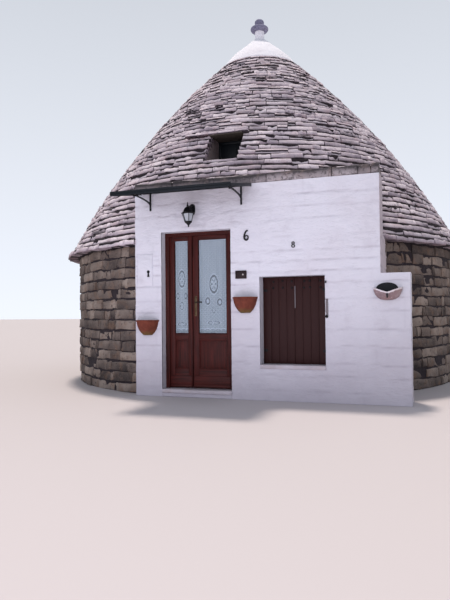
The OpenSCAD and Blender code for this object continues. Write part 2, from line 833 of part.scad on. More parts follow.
floor_slab();
door_threshold();
front_wall_left();
front_wall_middle();
front_wall_right();
front_wall_over_door();
front_wall_over_window();
front_wall_under_window();
corner_masonry();
low_wall();
cap_stones();
round_wall_front_left();
round_wall_front_right();
round_wall_right();
round_wall_back_right();
round_wall_back_left();
round_wall_left();
roof_front();
roof_right();
roof_back();
roof_left();
roof_top();
white_cap();
pinnacle_disc();
pinnacle_ball();
dormer_sill();
dormer_lintel();
dormer_frame();
dormer_panel();
door_frame();
door_left_leaf();
door_right_leaf();
left_glass();
right_glass();
left_curtain();
right_curtain();
door_handle();
hinge_frame_halves();
left_hinge_halves();
right_hinge_halves();
window_sill();
window_frame();
left_shutter();
right_shutter();
canopy_sheet();
canopy_rails();
canopy_brackets();
lantern_bracket();
lantern_roof();
lantern_glass();
lantern_cage();
meter_door();
bell_box();
left_pot();
right_pot();
stone_bowl();
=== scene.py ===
# Trullo house: stones, limewash, joinery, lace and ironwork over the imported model. Metres, +Z up, front -Y.
import bpy
import bmesh
import math
import random
from mathutils import Matrix, Vector, noise


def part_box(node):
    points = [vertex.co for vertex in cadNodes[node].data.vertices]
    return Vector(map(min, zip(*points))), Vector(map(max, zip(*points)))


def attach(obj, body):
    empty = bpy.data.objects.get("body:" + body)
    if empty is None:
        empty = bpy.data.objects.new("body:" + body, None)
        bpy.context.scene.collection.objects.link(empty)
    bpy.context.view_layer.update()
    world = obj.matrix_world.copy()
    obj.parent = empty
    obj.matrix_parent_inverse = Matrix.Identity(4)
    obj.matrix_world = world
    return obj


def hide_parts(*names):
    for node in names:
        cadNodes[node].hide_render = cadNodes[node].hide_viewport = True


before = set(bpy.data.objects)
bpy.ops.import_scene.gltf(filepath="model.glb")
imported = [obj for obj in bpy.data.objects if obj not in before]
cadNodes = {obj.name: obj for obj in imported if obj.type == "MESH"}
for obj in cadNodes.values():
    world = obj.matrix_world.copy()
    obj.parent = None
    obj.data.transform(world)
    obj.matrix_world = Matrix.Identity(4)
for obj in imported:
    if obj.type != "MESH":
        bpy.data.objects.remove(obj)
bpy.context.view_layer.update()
noise.seed_set(7)    # keeps the unevenness of the stones the same in every run
wallLow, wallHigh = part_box("front_wall_left")[0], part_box("front_wall_right")[1]
faceY = wallLow.y                                   # plane of the front wall's face
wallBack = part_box("front_wall_left")[1].y
eave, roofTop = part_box("roof_left")[0].z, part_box("roof_top")[1].z
print("frame loaded:", len(cadNodes), "nodes")

# Camera, light and floor

cameraView = {
    "place": (2.893, -10.425, 1.133), "lens": 35.0,
    "yaw": 19.20, "pitch": 1.09, "roll": -0.60,     # degrees, the yaw to the left of straight ahead
}

studio = {
    "sky": "#e9eef8", "skyLow": 1.12, "skyHigh": 0.44,    # brightest at the horizon
    "floor": "#b9b3b5", "floorSize": 160.0,
    # colour, power, size (of the sun its softness in degrees), place and the point it is aimed at;
    # the sun stands high and behind, so the front lies in open shade, and the pale floor throws light up
    "sun": ("#fff2e6", 3.1, 7.0, (-0.30, 0.40, 1.9), (0, 0, 0)),
    "fill": ("#f0eeff", 300.0, 8.0, (0.0, -12.5, 1.2), (0.7, faceY, 2.0)),
    "bounce": ("#f0eeff", 96.0, 4.0, (0.4, -6.4, 0.03), (0.4, -6.4, 1.0)),
}


def linear(hexColour):
    channels = [int(hexColour[i:i + 2], 16) / 255 for i in (1, 3, 5)]
    return tuple(c / 12.92 if c <= 0.04045 else ((c + 0.055) / 1.055) ** 2.4 for c in channels) + (1.0,)


def makeCamera():
    data = bpy.data.cameras.new("camera")
    data.lens = cameraView["lens"]
    data.clip_end = 500
    camera = bpy.data.objects.new("camera", data)
    bpy.context.scene.collection.objects.link(camera)
    yaw, pitch, roll = (math.radians(cameraView[key]) for key in ("yaw", "pitch", "roll"))
    forward = Vector((-math.sin(yaw) * math.cos(pitch), math.cos(yaw) * math.cos(pitch), math.sin(pitch)))
    level = Vector((math.cos(yaw), math.sin(yaw), 0))
    level = level * math.cos(roll) + level.cross(forward) * math.sin(roll)
    turn = Matrix((level, level.cross(forward), -forward)).transposed().to_4x4()
    camera.matrix_world = Matrix.Translation(cameraView["place"]) @ turn
    bpy.context.scene.camera = camera


def makeLight(name):
    colour, power, size, place, target = studio[name]
    data = bpy.data.lights.new(name, "SUN" if name == "sun" else "AREA")
    data.color = linear(colour)[:3]
    data.energy = power
    if name == "sun":
        data.angle = math.radians(size)
    else:
        data.size = size
    light = bpy.data.objects.new(name, data)
    light.location = place
    light.rotation_euler = (Vector(place) - Vector(target)).to_track_quat("Z", "Y").to_euler()
    light.visible_camera = False
    bpy.context.scene.collection.objects.link(light)


def makeStudio():
    world = bpy.data.worlds.new("studio")
    world.use_nodes = True
    tree = world.node_tree
    background = tree.nodes["Background"]
    background.inputs["Color"].default_value = linear(studio["sky"])
    strength = addNode(tree, "MapRange", {"To Min": studio["skyLow"], "To Max": studio["skyHigh"],
        "Value": upPart(tree, "TexCoord", "Generated")})
    tree.links.new(strength.outputs["Result"], background.inputs["Strength"])
    bpy.context.scene.world = world
    bpy.context.scene.view_settings.view_transform = "Standard"
    for name in ("sun", "fill", "bounce"):
        makeLight(name)
    half = studio["floorSize"] / 2
    mesh = bpy.data.meshes.new("floor")
    corners = [(half * x, half * y, -0.002) for x, y in ((-1, -1), (1, -1), (1, 1), (-1, 1))]
    mesh.from_pydata(corners, [], [(0, 1, 2, 3)])
    plainPaint("studioFloorPaint", studio["floor"], 0.9)
    mesh.materials.append(finishes["studioFloorPaint"])
    floor = bpy.data.objects.new("floor", mesh)
    bpy.context.scene.collection.objects.link(floor)


# Materials. A cloud is (size in millimetres of the real surface, detail, roughness, distortion)

finishes = {}


def addNode(tree, kind, values):
    # a value is a socket to link, an input's value or a setting of the node
    node = tree.nodes.new("ShaderNode" + kind)
    for key, value in values.items():
        if isinstance(value, bpy.types.NodeSocket):
            tree.links.new(value, node.inputs[key])
        elif isinstance(key, int) or key in node.inputs:
            node.inputs[key].default_value = linear(value) if isinstance(value, str) else value
        else:
            setattr(node, key, value)
    return node


def newFinish(name, roughness, **sockets):
    finishes[name] = bpy.data.materials.new(name)
    finishes[name].use_nodes = True
    tree = finishes[name].node_tree
    shader = tree.nodes["Principled BSDF"]
    shader.inputs["Roughness"].default_value = roughness
    for key, value in sockets.items():
        shader.inputs[key.replace("_", " ")].default_value = value
    return tree, shader


def plainPaint(name, colour, roughness):
    newFinish(name, roughness, Base_Color=linear(colour))


def objectSpace(tree, stretch=(1, 1, 1)):
    place = addNode(tree, "TexCoord", {}).outputs["Object"]
    return addNode(tree, "Mapping", {"Scale": stretch, "Vector": place}).outputs["Vector"]


def upPart(tree, kind, output):
    return addNode(tree, "SeparateXYZ", {"Vector": addNode(tree, kind, {}).outputs[output]}).outputs["Z"]


def attribute(tree, name):
    return addNode(tree, "Attribute", {"attribute_name": name}).outputs["Fac"]


def cloud(tree, space, millimetres, detail=4.0, rough=0.55, distortion=0.0):
    return addNode(tree, "TexNoise", {"Scale": 1000 / millimetres, "Detail": detail, "Roughness": rough,
        "Distortion": distortion, "Vector": space}).outputs["Fac"]


def blend(tree, share, first, second):
    return addNode(tree, "Mix", {"data_type": "RGBA", 0: share, 6: first, 7: second}).outputs[2]


def calc(tree, how, first, second):
    return addNode(tree, "Math", {"operation": how, 0: first, 1: second}).outputs[0]


def threshold(tree, value, low, high, most=1.0):
    return addNode(tree, "MapRange", {"From Min": low, "From Max": high, "To Max": most,
        "Value": value}).outputs["Result"]


def overlay(tree, space, base, *layers):
    # each layer is (cloud, from, to, most, colour)
    for values, low, high, most, colour in layers:
        base = blend(tree, threshold(tree, cloud(tree, space, *values), low, high, most), base, colour)
    return base


def surface(tree, shader, base, space, *layers):
    # sets the colour, and the relief from layers of (cloud, depth in millimetres), one over the other
    tree.links.new(base, shader.inputs["Base Color"])
    normal = None
    for values, depth in layers:
        height = cloud(tree, space, *values)
        bump = addNode(tree, "Bump", {"Strength": 1.0, "Distance": depth / 1000, "Height": height})
        if normal is not None:
            tree.links.new(normal, bump.inputs["Normal"])
        normal = bump.outputs["Normal"]
    tree.links.new(normal, shader.inputs["Normal"])


# Limestone, split or sawn: chalky and matt, greyed by weather, with lichen blots and pits that hold the dirt
# top is how much painted highlight the faces that look up take
stoneFinishes = {
    "splitLimestone": {"pale": "#e2d7dc", "mid": "#a295a0", "dark": "#3d353d", "warm": "#a98d93",
        "blot": 0.57, "grain": 13, "pit": 3.2, "roughness": 0.92, "lift": 0.0, "top": 0.5},
    # darker than the roof's stone: partly the bare stone's own browner colour, partly painted shade for the
    # wall under the eave
    "rubbleLimestone": {"pale": "#988b82", "mid": "#675c57", "dark": "#2d2829", "warm": "#755b4a",
        "blot": 0.56, "grain": 16, "pit": 3.4, "roughness": 0.95, "lift": 0.0, "top": 0.3},
    "lichenedLimestone": {"pale": "#a69ea1", "mid": "#7d7578", "dark": "#423e40", "warm": "#907d78",
        "blot": 0.50, "grain": 12, "pit": 3.0, "roughness": 0.95, "lift": 0.15, "top": 0.1},
    "wornLimestone": {"pale": "#c6c0c7", "mid": "#a69ea6", "dark": "#7a7278", "warm": "#b2a3a5",
        "blot": 0.70, "grain": 5, "pit": 1.0, "roughness": 0.8, "lift": 0.35, "top": 0.2},
    "greyLimestone": {"pale": "#9c9cb2", "mid": "#7a7a92", "dark": "#3a3a4c", "warm": "#827d92",
        "blot": 0.55, "grain": 6, "pit": 1.4, "roughness": 0.9, "lift": 0.45, "top": 0.3},
    "carvedLimestone": {"pale": "#ddd6da", "mid": "#8d777a", "dark": "#3d3335", "warm": "#937672",
        "blot": 0.68, "grain": 4, "pit": 1.2, "roughness": 0.85, "lift": 0.0, "top": 0.2},
}


def limestone(name):
    look = stoneFinishes[name]
    tree, shader = newFinish(name, look["roughness"], Specular_IOR_Level=0.25)
    space = objectSpace(tree)
    stone = calc(tree, "ADD", attribute(tree, "tone"), look["lift"])      # one value for each stone, plus the painted shade at the foot and highlight at the top of the roof and wall stones
    shade = calc(tree, "ADD", cloud(tree, space, 320, 3.0), stone)
    ramp = addNode(tree, "ValToRGB", {"Fac": threshold(tree, shade, 0.0, 1.55)})
    ramp.color_ramp.elements.new(1.0)
    for element, place, tone in zip(ramp.color_ramp.elements, (0.32, 0.60, 0.92), ("dark", "mid", "pale")):
        element.position = place
        element.color = linear(look[tone])
    base = overlay(tree, space, ramp.outputs["Color"], ((140, 2.0), 0.5, 0.75, 0.6, look["warm"]),
        ((46, 6.0, 0.7, 0.4), look["blot"], look["blot"] + 0.1, 0.75, look["dark"]),
        ((22, 5.0, 0.7), 0.58, 0.7, 0.5, look["pale"]))
    # painted highlight: faces that look up are blended towards the pale colour, as if lit from above
    paintedTopHighlight = threshold(tree, upPart(tree, "NewGeometry", "Normal"), 0.1, 0.75, look["top"])
    base = blend(tree, paintedTopHighlight, base, look["pale"])
    surface(tree, shader, base, space, ((60, 3.0), look["grain"]), ((9, 5.0, 0.7), look["pit"]))


# Limewash, many brushed coats over coursed stone: dead matt, its joints just showing, faintly lilac
# foot is the colour of the painted shade low on the wall
limewashLook = {
    "chalkLimewash": {"coat": "#d4d3dc", "thin": "#c7c1c8", "damp": "#b0abb6", "joint": "#9d97a3",
        "foot": "#a9a3ae"},
    "bleachedLimewash": {"coat": "#e4e4ec", "thin": "#dcd8df", "damp": "#cac6cf", "joint": "#b3aeb8",
        "foot": "#c4bfc8"},
    # painted shade: a darker limewash for the right end and its corner, which lie in shade
    "weatheredLimewash": {"coat": "#bbb1b8", "thin": "#a3979a", "damp": "#978d95", "joint": "#8d838b",
        "foot": "#98909a"},
}


def limewash(name):
    look = limewashLook[name]
    tree, shader = newFinish(name, 0.93, Specular_IOR_Level=0.2)
    space = objectSpace(tree)
    base = overlay(tree, space, look["coat"], ((900, 4.0), 0.46, 0.72, 0.55, look["thin"]),
        ((230, 6.0, 0.65), 0.55, 0.78, 0.4, look["damp"]))
    # painted shade: the limewash darkens towards the foot of the wall, in patches, to its foot colour
    low = threshold(tree, upPart(tree, "TexCoord", "Object"), 1.7, 0.1)
    paintedFootShade = calc(tree, "MULTIPLY", low, calc(tree, "ADD", cloud(tree, space, 500, 4.0), 0.7))
    base = blend(tree, threshold(tree, paintedFootShade, 0.0, 1.3, 0.8), base, look["foot"])
    base = blend(tree, calc(tree, "MULTIPLY", attribute(tree, "joint"), 0.7), base, look["joint"])
    brushed = objectSpace(tree, (1, 1, 2.4))
    surface(tree, shader, base, brushed, ((120, 4.0, 0.6), 16), ((18, 6.0, 0.7), 3.0))


# Painted shade: the model's stone behind the open joints is painted near black outside, for the shade deep in
# the joints, and limewash on the faces that look towards the room's middle
def roomStone(name, outer, turned):
    # turned is how far a face may look away from the room's middle and still be limewashed, from -1 to 1
    finishes[name] = finishes[outer].copy()
    finishes[name].name = name
    tree = finishes[name].node_tree
    place = addNode(tree, "TexCoord", {}).outputs["Object"]
    level = addNode(tree, "VectorMath", {"operation": "MULTIPLY", 0: place, 1: (1, 1, 0)}).outputs["Vector"]
    level = addNode(tree, "VectorMath", {"operation": "NORMALIZE", 0: level}).outputs["Vector"]
    normal = addNode(tree, "NewGeometry", {}).outputs["Normal"]
    facing = addNode(tree, "VectorMath", {"operation": "DOT_PRODUCT", 0: normal, 1: level}).outputs["Value"]
    inside = calc(tree, "LESS_THAN", facing, turned)
    paintedJointShade = blend(tree, cloud(tree, objectSpace(tree), 90, 4.0), "#1d191c", "#3a3237")
    base = blend(tree, inside, paintedJointShade, limewashLook["chalkLimewash"]["coat"])
    tree.links.new(base, tree.nodes["Principled BSDF"].inputs["Base Color"])


# Varnished mahogany: long dark pores in a red-brown ground under a thin gloss coat
def varnishedWood(name, stretch, light="#4d1a16", dark="#270c0a"):
    tree, shader = newFinish(name, 0.5, Specular_IOR_Level=0.14, Coat_Weight=0.03, Coat_Roughness=0.3)
    space = objectSpace(tree, stretch)
    figure, pores = (26, 5.0, 0.6, 0.8), (3.5, 3.0, 0.7)
    base = overlay(tree, space, dark, (figure, 0.32, 0.68, 1.0, light), (pores, 0.58, 0.7, 0.5, dark))
    surface(tree, shader, base, space, (figure, 0.4), (pores, 0.25))


# Float glass: clear from the front, a mirror at a slant, so the lace behind it shows
def floatGlass(name, body, least):
    tree, shader = newFinish(name, 0.04, IOR=1.5, Base_Color=linear(body))
    film = addNode(tree, "BsdfTransparent", {"Color": "#f6f8f8"})
    slant = addNode(tree, "LayerWeight", {"Blend": 0.5}).outputs["Facing"]
    gloss = calc(tree, "POWER", slant, 5.0)         # the same from both sides, so that light passes both ways
    share = addNode(tree, "MapRange", {"To Min": least, "Value": gloss}).outputs["Result"]
    mixed = addNode(tree, "MixShader", {0: share, 1: film.outputs["BSDF"], 2: shader.outputs["BSDF"]})
    tree.links.new(mixed.outputs["Shader"], tree.nodes["Material Output"].inputs["Surface"])


# Cotton net: white yarn with the dark room showing through its open stitches, worked denser in the ornament
def cottonNet(name, yarnColour="#d3ddec", stitch=4.0):
    # real net has 1 mm stitches, drawn 4 mm so that they show close by
    tree, shader = newFinish(name, 0.85, Sheen_Weight=0.3, Base_Color=linear(yarnColour))
    space = addNode(tree, "UVMap", {"uv_map": "cloth"}).outputs["UV"]
    wave = {"Scale": 1000 / stitch / 20, "Distortion": 0.4, "Vector": space}
    weave = addNode(tree, "TexWave", {**wave, "Detail": 1.0}).outputs["Fac"]
    weft = addNode(tree, "TexWave", {**wave, "bands_direction": "Y"}).outputs["Fac"]
    yarn = calc(tree, "MAXIMUM", weave, weft)
    alpha = calc(tree, "ADD", calc(tree, "MULTIPLY", yarn, 0.18), attribute(tree, "dense"))
    tree.links.new(threshold(tree, alpha, 0.0, 1.0), shader.inputs["Alpha"])


# Brass, bronze-brown where hands don't reach
def agedBrass(name):
    tree, shader = newFinish(name, 0.45, Metallic=1.0)
    space = objectSpace(tree)
    base = overlay(tree, space, "#4f4132", ((14, 4.0), 0.45, 0.7, 1.0, "#352b22"))
    tree.links.new(base, shader.inputs["Base Color"])
    tree.links.new(threshold(tree, cloud(tree, space, 4, 3.0), 0.2, 0.8, 0.5), shader.inputs["Roughness"])


# Oil paint on boards, iron or plaster, a little chalked, worn through to the ground on its high spots
oilPaints = {
    # colour, worn colour, roughness, wear and grain
    # painted shade for the dormer's ceiling under the lintel
    "paintedShadeCeiling": ("#504a44", "#3c3732", 0.95, 0.5),
    # painted shade for the bowl's hollow
    "dampStone": ("#26282b", "#3a3838", 0.9, 0.6),
    "sootyPlaster": ("#74696a", "#5c4f4b", 0.95, 0.5),
    "maroonBoardPaint": ("#2a0c0b", "#42251c", 0.6, 0.66, (1, 1, 0.06)),
    "greenBlackSteelPaint": ("#0c131a", "#1f2930", 0.45, 0.66),
    "blackIronPaint": ("#0a0a0d", "#242021", 0.5, 0.74),
    "slateBluePaint": ("#0d1217", "#1c252b", 0.5, 0.66),
    "leverIron": ("#17130f", "#4a3a26", 0.4, 0.7),
    "galvanisedStrip": ("#6f686c", "#8f888a", 0.55, 0.66),
    "maroonEnamel": ("#1c0a0d", "#33191d", 0.35, 0.74),
}


def oldPaint(name, colour, worn, roughness, wear, grain=(1, 1, 1)):
    tree, shader = newFinish(name, roughness, Specular_IOR_Level=0.22)
    space = objectSpace(tree, grain)
    chalk, fine = (30, 5.0, 0.65), (5, 4.0, 0.7)
    base = overlay(tree, space, colour, (chalk, wear, wear + 0.14, 0.6, worn), (fine, 0.55, 0.8, 0.25, worn))
    surface(tree, shader, base, space, (chalk, 0.6), (fine, 0.35))


# Terracotta: porous fired clay, orange-brown, with pale salts and a greened foot
def terracotta(name, foot):
    tree, shader = newFinish(name, 0.9, Specular_IOR_Level=0.25)
    space = objectSpace(tree)
    base = overlay(tree, space, "#6e382b", ((60, 5.0), 0.35, 0.7, 1.0, "#5a2c22"),
        ((25, 6.0, 0.7), 0.64, 0.80, 0.4, "#a27b68"))
    low = threshold(tree, upPart(tree, "TexCoord", "Object"), foot + 0.10, foot)
    greened = calc(tree, "MULTIPLY", low, cloud(tree, space, 40, 4.0))
    base = blend(tree, threshold(tree, greened, 0.15, 0.6, 0.8), base, "#5c5a2c")
    surface(tree, shader, base, space, ((3, 4.0, 0.7), 0.5))


makeCamera()
makeStudio()

for name in stoneFinishes:
    limestone(name)
for name in limewashLook:
    limewash(name)
for name, values in oilPaints.items():
    oldPaint(name, *values)
roomStone("limewashedRoomStone", "rubbleLimestone", 0.5)
roomStone("limewashedRoofStone", "splitLimestone", -0.3)
varnishedWood("mahoganyUpright", (1, 1, 0.05))
varnishedWood("mahoganyLevel", (0.05, 1, 1))
floatGlass("floatGlass", "#20262a", 0.05)
floatGlass("frostedGlass", "#c9ced6", 0.55)
cottonNet("cottonNet")
agedBrass("agedBrass")
plainPaint("paleButton", "#a39c98", 0.4)
plainPaint("opalBulb", "#f1efe8", 0.25)
for side in ("left", "right"):
    terracotta(f"{side}Terracotta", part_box(f"{side}_pot")[0].z)
print("materials:", len(finishes))

# Helpers for the pieces


def toMesh(name, bm):
    mesh = bpy.data.meshes.new(name)
    bm.to_mesh(mesh)
    bm.free()
    return mesh


def finishPiece(name, bm, finish, body="house", replaced=(), smooth=40):
    # finish is one name, or one for each kind of face; edges up to smooth degrees are shaded soft
    mesh = toMesh(name, bm)
    for one in [finish] if isinstance(finish, str) else finish:
        mesh.materials.append(finishes[one])
    if smooth:
        mesh.polygons.foreach_set("use_smooth", [True] * len(mesh.polygons))
        mesh.set_sharp_from_angle(angle=math.radians(smooth))
    piece = bpy.data.objects.new(name, mesh)
    bpy.context.scene.collection.objects.link(piece)
    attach(piece, body)
    if replaced:
        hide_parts(*replaced)
    return piece


def bevel(bm, edges, offset, segments=2):
    bmesh.ops.bevel(bm, geom=edges, offset=offset, segments=segments, profile=0.5, affect="EDGES",
        material=-1)


def addCube(bm, low, high):
    low, high = Vector(low), Vector(high)
    matrix = Matrix.Translation((low + high) / 2) @ Matrix.Diagonal((*(high - low), 1))
    return bmesh.ops.create_cube(bm, size=1, matrix=matrix)["verts"]


def addBlock(bm, low, high, rounding=0.0, kind=0):
    verts = addCube(bm, low, high)
    for face in {face for vert in verts for face in vert.link_faces}:
        face.material_index = kind
    if rounding:
        bevel(bm, list({edge for vert in verts for edge in vert.link_edges}), rounding)


def addPanel(bm, low, high, margin, near, far, rounding=0.0):
    # a block within the outline of a box, from near to far in depth
    addBlock(bm, (low.x + margin, near, low.z + margin), (high.x - margin, far, high.z - margin), rounding)


def border(low, high, bar):
    # the bars of an upright frame as (left, right, foot, top, kind), the level ones of kind 1
    left, right = low.x + bar, high.x - bar
    return ((low.x, left, low.z, high.z, 0), (right, high.x, low.z, high.z, 0),
        (left, right, low.z, low.z + bar, 1), (left, right, high.z - bar, high.z, 1))


def addRod(bm, start, end, radius, segments=12, endRadius=None):
    start, end = Vector(start), Vector(end)
    along = end - start
    matrix = Matrix.Translation((start + end) / 2) @ along.to_track_quat("Z", "Y").to_matrix().to_4x4()
    bmesh.ops.create_cone(bm, cap_ends=True, segments=segments, radius1=radius,
        radius2=radius if endRadius is None else endRadius, depth=along.length, matrix=matrix)


def addDome(bm, place, radius, out=(0, -1, 0), flat=0.6):
    # a round stud head that stands out along a direction
    turn = Vector(out).to_track_quat("Z", "Y").to_matrix().to_4x4()
    bmesh.ops.create_icosphere(bm, subdivisions=2, radius=radius,
        matrix=Matrix.Translation(place) @ turn @ Matrix.Diagonal((1, 1, flat, 1)))


def addGrid(bm, middle, width, height, cell):
    # an upright sheet across the view from the front, cut into cells
    upright = Matrix.Translation(middle) @ Matrix.Rotation(math.pi / 2, 4, "X")
    bmesh.ops.create_grid(bm, x_segments=round(width / cell), y_segments=round(height / cell), size=0.5,
        matrix=upright @ Matrix.Diagonal((width, height, 1, 1)))


def turned(bm, line, centre, steps):
    # turns an outline of (radius, height) pairs round an upright axis, and closes it to the axis at both ends
    first, last = ([(0.0, z)] if r > 0 else [] for r, z in (line[0], line[-1]))
    start = len(bm.verts)
    verts = [bm.verts.new((centre[0] + r, centre[1], centre[2] + z)) for r, z in first + line + last]
    edges = [bm.edges.new(pair) for pair in zip(verts, verts[1:])]
    bmesh.ops.spin(bm, geom=verts + edges, cent=centre, axis=(0, 0, 1), angle=2 * math.pi, steps=steps,
        use_merge=True)
    bm.verts.ensure_lookup_table()
    bmesh.ops.remove_doubles(bm, verts=bm.verts[start:], dist=0.0001)
    bmesh.ops.recalc_face_normals(bm, faces=bm.faces)


def smoothPath(points, steps=6):
    points = [Vector(point) for point in points]
    ends = [points[0] * 2 - points[1]] + points + [points[-1] * 2 - points[-2]]
    path = []
    for before, start, end, after in zip(ends, ends[1:], ends[2:], ends[3:]):
        for step in range(steps):
            t = step / steps
            path.append((start * 2 + (end - before) * t + (before * 2 - start * 5 + end * 4 - after) * t ** 2
                + (start * 3 - before - end * 3 + after) * t ** 3) / 2)
    return path + [points[-1]]


def smoothLine(line, steps):
    return [(point.x, point.z) for point in smoothPath([(r, 0, z) for r, z in line], steps)]


def sweep(bm, path, width, depth, flat, segments=4, sizes=None):
    # draws a bar along a path that lies in the plane across the direction flat
    corner = Matrix.Rotation(math.pi / 4, 4, "Z") if segments == 4 else Matrix()
    frames = []
    for index, point in enumerate(path):
        ahead = (path[min(index + 1, len(path) - 1)] - path[max(index - 1, 0)]).normalized()
        across = Vector(flat).cross(ahead).normalized()
        turn = Matrix((across, ahead.cross(across), ahead)).transposed().to_4x4()
        size = sizes[index] if sizes else 1.0
        frames.append(Matrix.Translation(point) @ turn @ Matrix.Diagonal((width * size, depth * size, 1, 1)))
    ring = bmesh.ops.create_circle(bm, cap_ends=True, radius=0.7071 if segments == 4 else 0.5,
        segments=segments, matrix=frames[0] @ corner)["verts"]
    face = ring[0].link_faces[0]
    for before, after in zip(frames, frames[1:]):
        grown = bmesh.ops.extrude_face_region(bm, geom=[face])["geom"]
        face = next(part for part in grown if isinstance(part, bmesh.types.BMFace))
        bmesh.ops.transform(bm, matrix=after @ before.inverted(), verts=face.verts[:])
    bmesh.ops.recalc_face_normals(bm, faces=bm.faces)


def addPlate(bm, outline, thickness):
    # a flat plate from its outline and the way that its thickness goes
    face = bm.faces.new([bm.verts.new(point) for point in outline])
    grown = bmesh.ops.extrude_face_region(bm, geom=[face])["geom"]
    verts = [part for part in grown if isinstance(part, bmesh.types.BMVert)]
    bmesh.ops.translate(bm, vec=thickness, verts=verts)
    bmesh.ops.recalc_face_normals(bm, faces=bm.faces)


def shake(verts, amount, pitch, seed):
    # pushes the vertices about by a smooth random field
    shift = Vector((seed * 7.31, seed * 3.17, seed * 5.93))
    for vert in verts:
        vert.co += noise.noise_vector(vert.co * pitch + shift) * amount


def subdivide(bm, axis, least, cuts):
    # cuts the edges that run along an axis for more than a least length
    edges = [e for e in bm.edges if abs(e.verts[0].co[axis] - e.verts[1].co[axis]) > least]
    bmesh.ops.subdivide_edges(bm, edges=edges, cuts=cuts, use_grid_fill=True)


def newStones():
    bm = bmesh.new()
    return bm, bm.verts.layers.float.new("tone")


def joinMesh(bm, mesh):
    start = len(bm.verts)
    bm.from_mesh(mesh)
    bm.verts.ensure_lookup_table()
    return bm.verts[start:]


def roughBlock(bm, layer, low, high, rounding, rough, tone, seed, cell=0.10):
    # a dressed stone with worn edges and uneven faces
    part = bmesh.new()
    addBlock(part, low, high, rounding)
    for axis in range(3):
        size = high[axis] - low[axis]
        cuts = round(size / cell) - 1
        if cuts > 0:
            subdivide(part, axis, size * 0.5, cuts)
    shake(part.verts, rough, 7.0, seed)
    shake(part.verts, rough * 0.5, 27.0, seed + 40)
    mesh = toMesh("roughBlock", part)
    for vert in joinMesh(bm, mesh):
        vert[layer] = tone
    bpy.data.meshes.remove(mesh)


# Stones of the roof and the round wall

roofStones = {
    "courses": 41, "lip": 0.030, "underCap": 0.040,    # as in the model: courses, eave's lip, cap's overhang
    "bulge": 0.235, "bulgeUp": 0.10,
    "proud": 0.022,                                 # how far the stones stand before the model's courses
    "joint": 0.025,                                 # open joint over each course
    "footShadeTopLight": 0.55,                                  # painted shade at a stone's foot and painted highlight at its top: how much lighter a stone gets from its foot to its top
    "length": 0.33, "lengthTop": 0.13, "lengthSpread": 0.55,
    "split": 0.90,                                  # share of the topmost stones that are two thin ones
    "depth": 0.16, "height": 0.0857, "lean": 0.016, "rounding": 0.012,
    "stray": 0.010,                                 # how far a stone strays in and out
    "wave": 0.010, "waveLength": 0.9,               # rise and fall of the courses
    "fillIn": 0.070,                                # the corner's fill stays this far behind the wall's end
    "templates": 14, "cuts": (4, 0), "rough": 0.013, "seed": 3,
}

wallStones = {
    "courses": 14, "length": 0.26, "lengthSpread": 0.75, "proud": 0.016, "stray": 0.012,
    "joint": 0.018, "depth": 0.11, "height": 0.147, "wave": 0.020, "waveLength": 0.5, "footShadeTopLight": 0.2,
    "split": 0.0, "lean": 0.004, "rounding": 0.020,
    "templates": 12, "cuts": (3, 1), "rough": 0.017, "seed": 90,
}


def stoneTemplates(look):
    # slabs with their faces broken up, lying along X with the front at y = 0 and the foot at z = 0
    templates = []
    long, deep, tall = look["length"], look["depth"], look["height"] - look["joint"]
    for index in range(look["templates"]):
        bm = bmesh.new()
        addCube(bm, (-long / 2, 0, 0), (long / 2, deep, tall))
        upper = [vert for vert in bm.verts if vert.co.y < 0.001 and vert.co.z > tall * 0.9]
        bmesh.ops.translate(bm, vec=(0, look["lean"], 0), verts=upper)
        rim = [edge for edge in bm.edges if all(vert.co.y < look["lean"] + 0.001 for vert in edge.verts)]
        bevel(bm, [edge for edge in rim if all(vert in upper for vert in edge.verts)], look["rounding"])
        bevel(bm, [edge for edge in rim if edge.is_valid], 0.008, 1)
        cutsLong, cutsHigh = look["cuts"]
        subdivide(bm, 0, long * 0.5, cutsLong)
        if cutsHigh:
            subdivide(bm, 2, tall * 0.4, cutsHigh)
        shake(bm.verts, look["rough"], 8.0, look["seed"] + index)
        shake(bm.verts, look["rough"] * 0.7, 31.0, look["seed"] + index + 50)
        templates.append(toMesh("stoneTemplate", bm))
    return templates


def freeBearings(radius, low, high):
    # bearings from the front towards +X that a course may fill, round the front wall, its fill and the dormer
    fillTop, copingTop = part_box("corner_masonry")[1].z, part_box("cap_stones")[1].z
    openLow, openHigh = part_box("dormer_frame")
    slabLow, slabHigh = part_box("dormer_lintel")

    def bearing(x):
        return math.asin(max(-1.0, min(1.0, x / radius)))

    if low < copingTop and radius > -wallBack:
        meet = math.acos(-wallBack / radius)
        left, right = max(bearing(wallLow.x), -meet), min(meet, bearing(wallHigh.x))
        if low < fillTop:
            right = bearing(wallHigh.x - roofStones["fillIn"])
    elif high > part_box("dormer_sill")[0].z + 0.02 and low < openHigh.z - 0.02:
        left, right = bearing(openLow.x), bearing(openHigh.x)
    elif (low + high) / 2 > openHigh.z and low < slabHigh.z - 0.01:
        left, right = bearing(slabLow.x), bearing(slabHigh.x)
    else:
        return None
    return right, left + 2 * math.pi


def addStone(bm, template, look, bearing, length, foot, radius, tone, rise):
    # sets one stone at a bearing, bent round the radius
    layer = bm.verts.layers.float["tone"]
    for vert in joinMesh(bm, template):
        vert[layer] = tone + look["footShadeTopLight"] * (vert.co.z / look["height"] - 0.45)    # painted highlight above, painted shade at the foot
        out = radius - vert.co.y
        angle = bearing + vert.co.x * length / look["length"] / radius
        place = Vector((math.sin(angle), math.cos(angle), foot * 0.6)) * radius / look["waveLength"]
        height = foot + vert.co.z * rise + noise.noise(place) * look["wave"]
        vert.co = Vector((math.sin(angle) * out, -math.cos(angle) * out, height))


